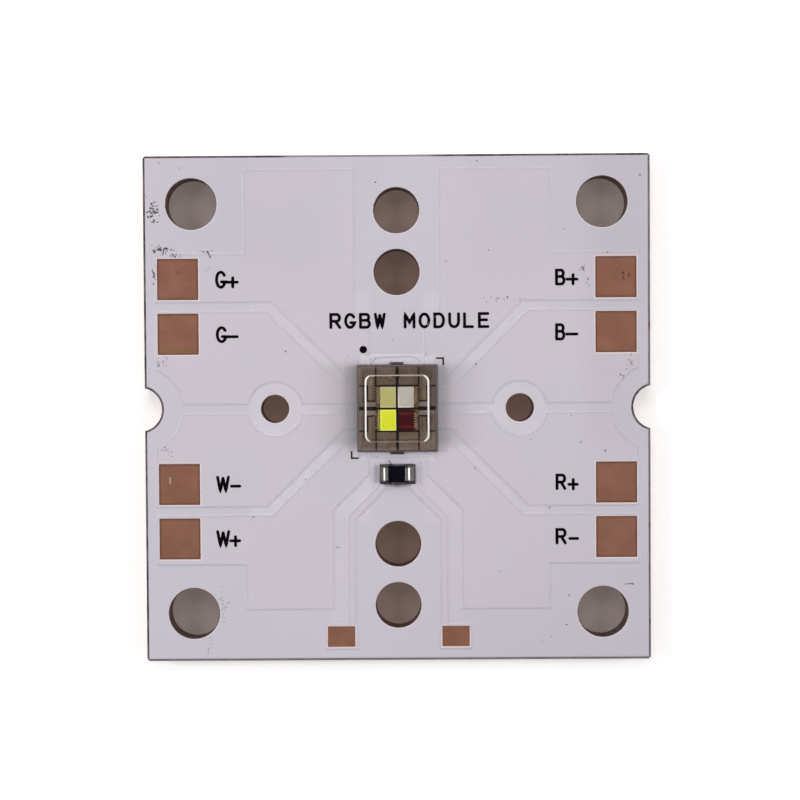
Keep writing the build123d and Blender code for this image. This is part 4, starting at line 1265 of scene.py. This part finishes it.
def add_ribbon(work, stroke, width=STROKE_WIDTH, lift=INK_LIFT, thick=INK_THICK):
    """Adds one pen stroke to a mesh: two edge lines joined all along, a face at each end, and its walls."""
    dense = [stroke[0]]
    for (x0, y0), (x1, y1) in zip(stroke, stroke[1:]):
        pieces = max(1, int(math.dist((x0, y0), (x1, y1)) / 0.12))
        for part in range(1, pieces + 1):
            dense.append((x0 + (x1 - x0) * part / pieces, y0 + (y1 - y0) * part / pieces))
    left, right, ends = ribbon_outline(dense, width)

    def dropped(points):
        places = [(point.x, point.y, mask_height(point.x, point.y) + lift + thick) for point in points]
        return [work.verts.new(Vector(place) * MM) for place in places]

    top_left, top_right = dropped(left), dropped(right)
    for spot in range(len(left) - 1):
        work.faces.new((top_right[spot], top_right[spot + 1], top_left[spot + 1], top_left[spot]))
    first_cap, last_cap = dropped(ends[1]), dropped(ends[0])
    work.faces.new([top_left[-1]] + last_cap + [top_right[-1]])
    work.faces.new([top_right[0]] + first_cap + [top_left[0]])
    outline = top_left + last_cap + list(reversed(top_right)) + first_cap
    under = [work.verts.new((point.co.x, point.co.y, point.co.z - thick * MM)) for point in outline]
    join_rings(work, outline, under)


def add_strokes(strokes):
    """A builder for several strokes in one mesh."""
    def build(work):
        for stroke in strokes:
            add_ribbon(work, stroke)
    return build


# %% Channel labels
# letter, its box, the sign's bar as x0, x1, y, and for a plus its upright as x, y0, y1
LABELS = [
    ("G", (-13.26, 8.81, -12.42, 10.12), (-12.78, -11.53, 9.28), (-11.97, 8.83, 9.71)),
    ("G", (-13.24, 4.84, -12.39, 6.07), (-12.75, -11.57, 5.30), None),
    ("W", (-13.31, -6.10, -12.31, -4.87), (-12.30, -11.48, -5.64), None),
    ("W", (-13.34, -10.11, -12.32, -8.87), (-12.40, -11.52, -9.65), (-11.93, -10.11, -9.25)),
    ("B", (11.56, 8.89, 12.31, 10.11), (12.31, 13.26, 9.34), (12.87, 8.89, 9.77)),
    ("B", (11.55, 4.88, 12.29, 6.13), (12.29, 13.24, 5.34), None),
    ("R", (11.54, -6.06, 12.32, -4.86), (12.41, 13.23, -5.65), (12.83, -6.09, -5.19)),
    ("R", (11.52, -10.05, 12.34, -8.85), (12.46, 13.24, -9.62), None),
]
CHANNELS = {"G": "green", "W": "white", "B": "blue", "R": "red"}
inset = STROKE_WIDTH / 2
for letter, box, bar, upright in LABELS:
    strokes = letter_strokes(letter, box)
    strokes.append([(bar[0] + inset, bar[2]), (bar[1] - inset, bar[2])])
    if upright:
        strokes.append([(upright[0], upright[1] + inset), (upright[0], upright[2] - inset)])
    name = CHANNELS[letter] + ("_plus" if upright else "_minus") + "_label"
    dress(from_bmesh(name, add_strokes(strokes)), "black_ink")
print("labels:", len(LABELS))

# %% Generic legend above the LED
LEGEND = "RGBW MODULE"
LEGEND_LOW, LEGEND_HIGH = 5.82, 6.98
LEGEND_LEFT, LEGEND_PITCH, LETTER_WIDTH = -4.93, 1.085, 0.86
legend_strokes = []
for number, letter in enumerate(LEGEND):
    if letter != " ":
        left = LEGEND_LEFT + number * LEGEND_PITCH
        legend_strokes += letter_strokes(letter, (left, LEGEND_LOW, left + LETTER_WIDTH, LEGEND_HIGH))
dress(from_bmesh("legend_print", add_strokes(legend_strokes)), "black_ink")
print("legend strokes:", len(legend_strokes))

# %% [markdown]
# ## Dust, scuffs and flux
# A board that has been handled is never spotless. There are short scuffs near the left edge, dark specks
# here and there, and a few hairs of flux at the LED's corners. Each speck is a thin flake with an uneven
# outline that lies on the mask. The places of single specks and of clusters are listed, and a seeded random
# gives each speck its outline. It rolls its numbers in one fixed order, so every render has the same dust.

# %% Where the specks are
SPECKS = [  # x, y, size
    (-1.5, 16.5, 0.08), (3.6, 10.7, 0.08), (6.7, 11.5, 0.07), (6.55, 7.7, 0.06), (8.1, 8.1, 0.08),
    (9.0, 7.9, 0.07), (-8.15, 4.2, 0.09), (-3.6, 3.8, 0.07), (-0.3, 5.0, 0.06), (5.75, 3.2, 0.08),
    (-10.6, -7.9, 0.08), (-6.75, -5.2, 0.07), (4.3, -1.6, 0.07), (5.65, -4.4, 0.08), (11.1, -7.35, 0.10),
    (12.7, -0.6, 0.07), (13.4, -2.55, 0.08), (9.75, -2.35, 0.06), (15.2, -3.2, 0.08), (17.2, -13.0, 0.08),
    (12.3, -15.95, 0.08), (11.2, -16.85, 0.07), (10.5, -17.2, 0.07), (12.5, -13.8, 0.06), (7.5, -12.0, 0.06),
    (-1.49, -3.55, 0.06), (1.69, -4.02, 0.05), (12.2, 13.0, 0.06), (5.9, 18.0, 0.09), (-17.3, 18.0, 0.08),
    (17.8, 16.9, 0.09), (15.4, 11.3, 0.07),
    (-12.5, -14.2, 0.06), (6.9, 8.1, 0.06), (7.4, 8.0, 0.05), (7.9, 7.9, 0.05), (8.6, 7.8, 0.05),
]
CLUSTERS = [  # x, y, spread in x and y, how many, size
    (-17.8, 14.6, 0.45, 0.70, 40, 0.085), (-17.2, 11.75, 0.75, 0.35, 34, 0.085),
    (-17.75, 10.0, 0.12, 0.7, 14, 0.06), (-17.35, 3.4, 0.45, 0.35, 26, 0.05),
    (-13.9, 11.5, 0.7, 0.10, 10, 0.04), (13.6, 10.1, 0.30, 0.22, 16, 0.05), (14.0, 9.2, 0.2, 0.35, 8, 0.04),
    (-1.9, 3.55, 0.35, 0.14, 5, 0.04), (-16.2, 11.25, 0.35, 0.15, 8, 0.06),
    (17.1, 3.3, 0.35, 0.75, 22, 0.045), (16.4, 2.2, 0.3, 0.6, 10, 0.04), (-17.0, -2.9, 0.5, 0.4, 18, 0.04),
    (-12.9, -14.8, 0.22, 1.6, 34, 0.035), (-13.9, -17.3, 0.25, 0.6, 14, 0.04),
    (7.7, 7.95, 0.9, 0.18, 14, 0.04), (-13.8, 10.2, 0.25, 0.2, 6, 0.035), (15.8, 16.2, 0.8, 0.8, 8, 0.03),
    (-16.2, 17.6, 0.9, 0.5, 8, 0.035),
]
print("single specks:", len(SPECKS), "clusters:", len(CLUSTERS))

# %% One speck
dice = random.Random(41)
MASK_EDGE = 18.25
FLAKE_CORNERS = 9
FLAKE_LOW, FLAKE_TOP = 0.001, 0.012  # over the mask


def add_flake(work, x, y, across_mm):
    reach = [across_mm * dice.uniform(0.55, 1.1) for _ in range(FLAKE_CORNERS)]
    stretch, turn = dice.uniform(0.5, 1.0), dice.uniform(0.0, math.pi)
    outline = []
    for step in range(FLAKE_CORNERS):
        angle = 2 * math.pi * step / FLAKE_CORNERS
        across, along = reach[step] * math.cos(angle), reach[step] * math.sin(angle) * stretch
        outline.append((x + across * math.cos(turn) - along * math.sin(turn),
                        y + across * math.sin(turn) + along * math.cos(turn)))
    heights = [mask_height(px, py) for px, py in outline]
    top, low = [
        [work.verts.new(Vector((px, py, height + lift)) * MM) for (px, py), height in zip(outline, heights)]
        for lift in (FLAKE_TOP, FLAKE_LOW)
    ]
    work.faces.new(top)
    join_rings(work, low, top)


def is_clear(x, y):
    """On the mask: not over the rim, a pair of pads or a corner hole."""
    hole_x, hole_y, radius = HOLES[0]
    pair_half = PAD_STEP + PAD_HALF + 0.1
    on_pads = abs(abs(x) - PAD_X) < PAD_HALF + 0.1 and abs(abs(y) - PAD_ROWS) < pair_half
    in_hole = math.dist((abs(x), abs(y)), (hole_x, hole_y)) < radius + 0.13
    return max(abs(x), abs(y)) < MASK_EDGE and not on_pads and not in_hole


# %% Dust
out, spot, *_ = new_finish("dust")
colour = blend(grain(spot, 1.7, 3.0, shift=4.0), (0.035, 0.026, 0.028), (0.24, 0.20, 0.21))
finish_with(out, colour, 0.85, bumps(grain(spot, 20.0), 0.01, 0.7))

# %% All specks, singly and in clusters
def build_specks(work):
    for x, y, across_mm in SPECKS:
        add_flake(work, x, y, across_mm * dice.uniform(0.7, 1.1))
    for x, y, spread_x, spread_y, count, across_mm in CLUSTERS:
        for _ in range(count):
            place = (dice.gauss(x, spread_x * 0.55), dice.gauss(y, spread_y * 0.55))
            if is_clear(*place):
                add_flake(work, *place, across_mm * dice.uniform(0.4, 1.3))


specks = dress(from_bmesh("dust_specks", build_specks), "black_ink", material=finishes["dust"])
print("specks:", len(specks.data.vertices) // (2 * FLAKE_CORNERS))

# %% Scuffs and flux hairs
SCUFFS = [  # points of the stroke, and its width
    ([(-13.85, 11.55), (-13.7, 11.35), (-13.6, 11.1)], 0.09), ([(-18.25, 14.4), (-18.0, 14.5)], 0.08),
    ([(-17.9, 13.7), (-17.65, 13.72)], 0.06), ([(-17.1, 11.3), (-16.95, 11.8)], 0.07),
    ([(16.6, -13.0), (17.2, -12.95)], 0.05), ([(-16.35, 11.35), (-16.15, 11.1)], 0.08),
    ([(-4.55, -10.1), (-4.42, -10.25), (-4.30, -10.15)], 0.03),
    ([(-1.93, 3.25), (-1.71, 3.50), (-1.57, 3.65), (-1.38, 3.69)], 0.028),
    ([(-1.38, 3.65), (-0.91, 3.72), (-0.03, 3.74), (1.07, 3.76), (1.43, 3.61), (1.73, 3.40)], 0.022),
    ([(-0.69, -3.84), (-0.55, -3.97), (-0.40, -4.12)], 0.055),
]
SCUFF_LIFT, SCUFF_THICK = 0.001, 0.008


def build_scuffs(work):
    for stroke, width in SCUFFS:
        add_ribbon(work, stroke, width, SCUFF_LIFT, SCUFF_THICK)


dress(from_bmesh("scuffs", build_scuffs), "black_ink", material=finishes["dust"])
print("scuffs:", len(SCUFFS))

# %% Measure and finish
low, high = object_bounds()
{"cad": [list(cad_low), list(cad_high)], "visual": [list(low), list(high)]}
print("visual size, mm:", [round(side / MM, 3) for side in high - low])
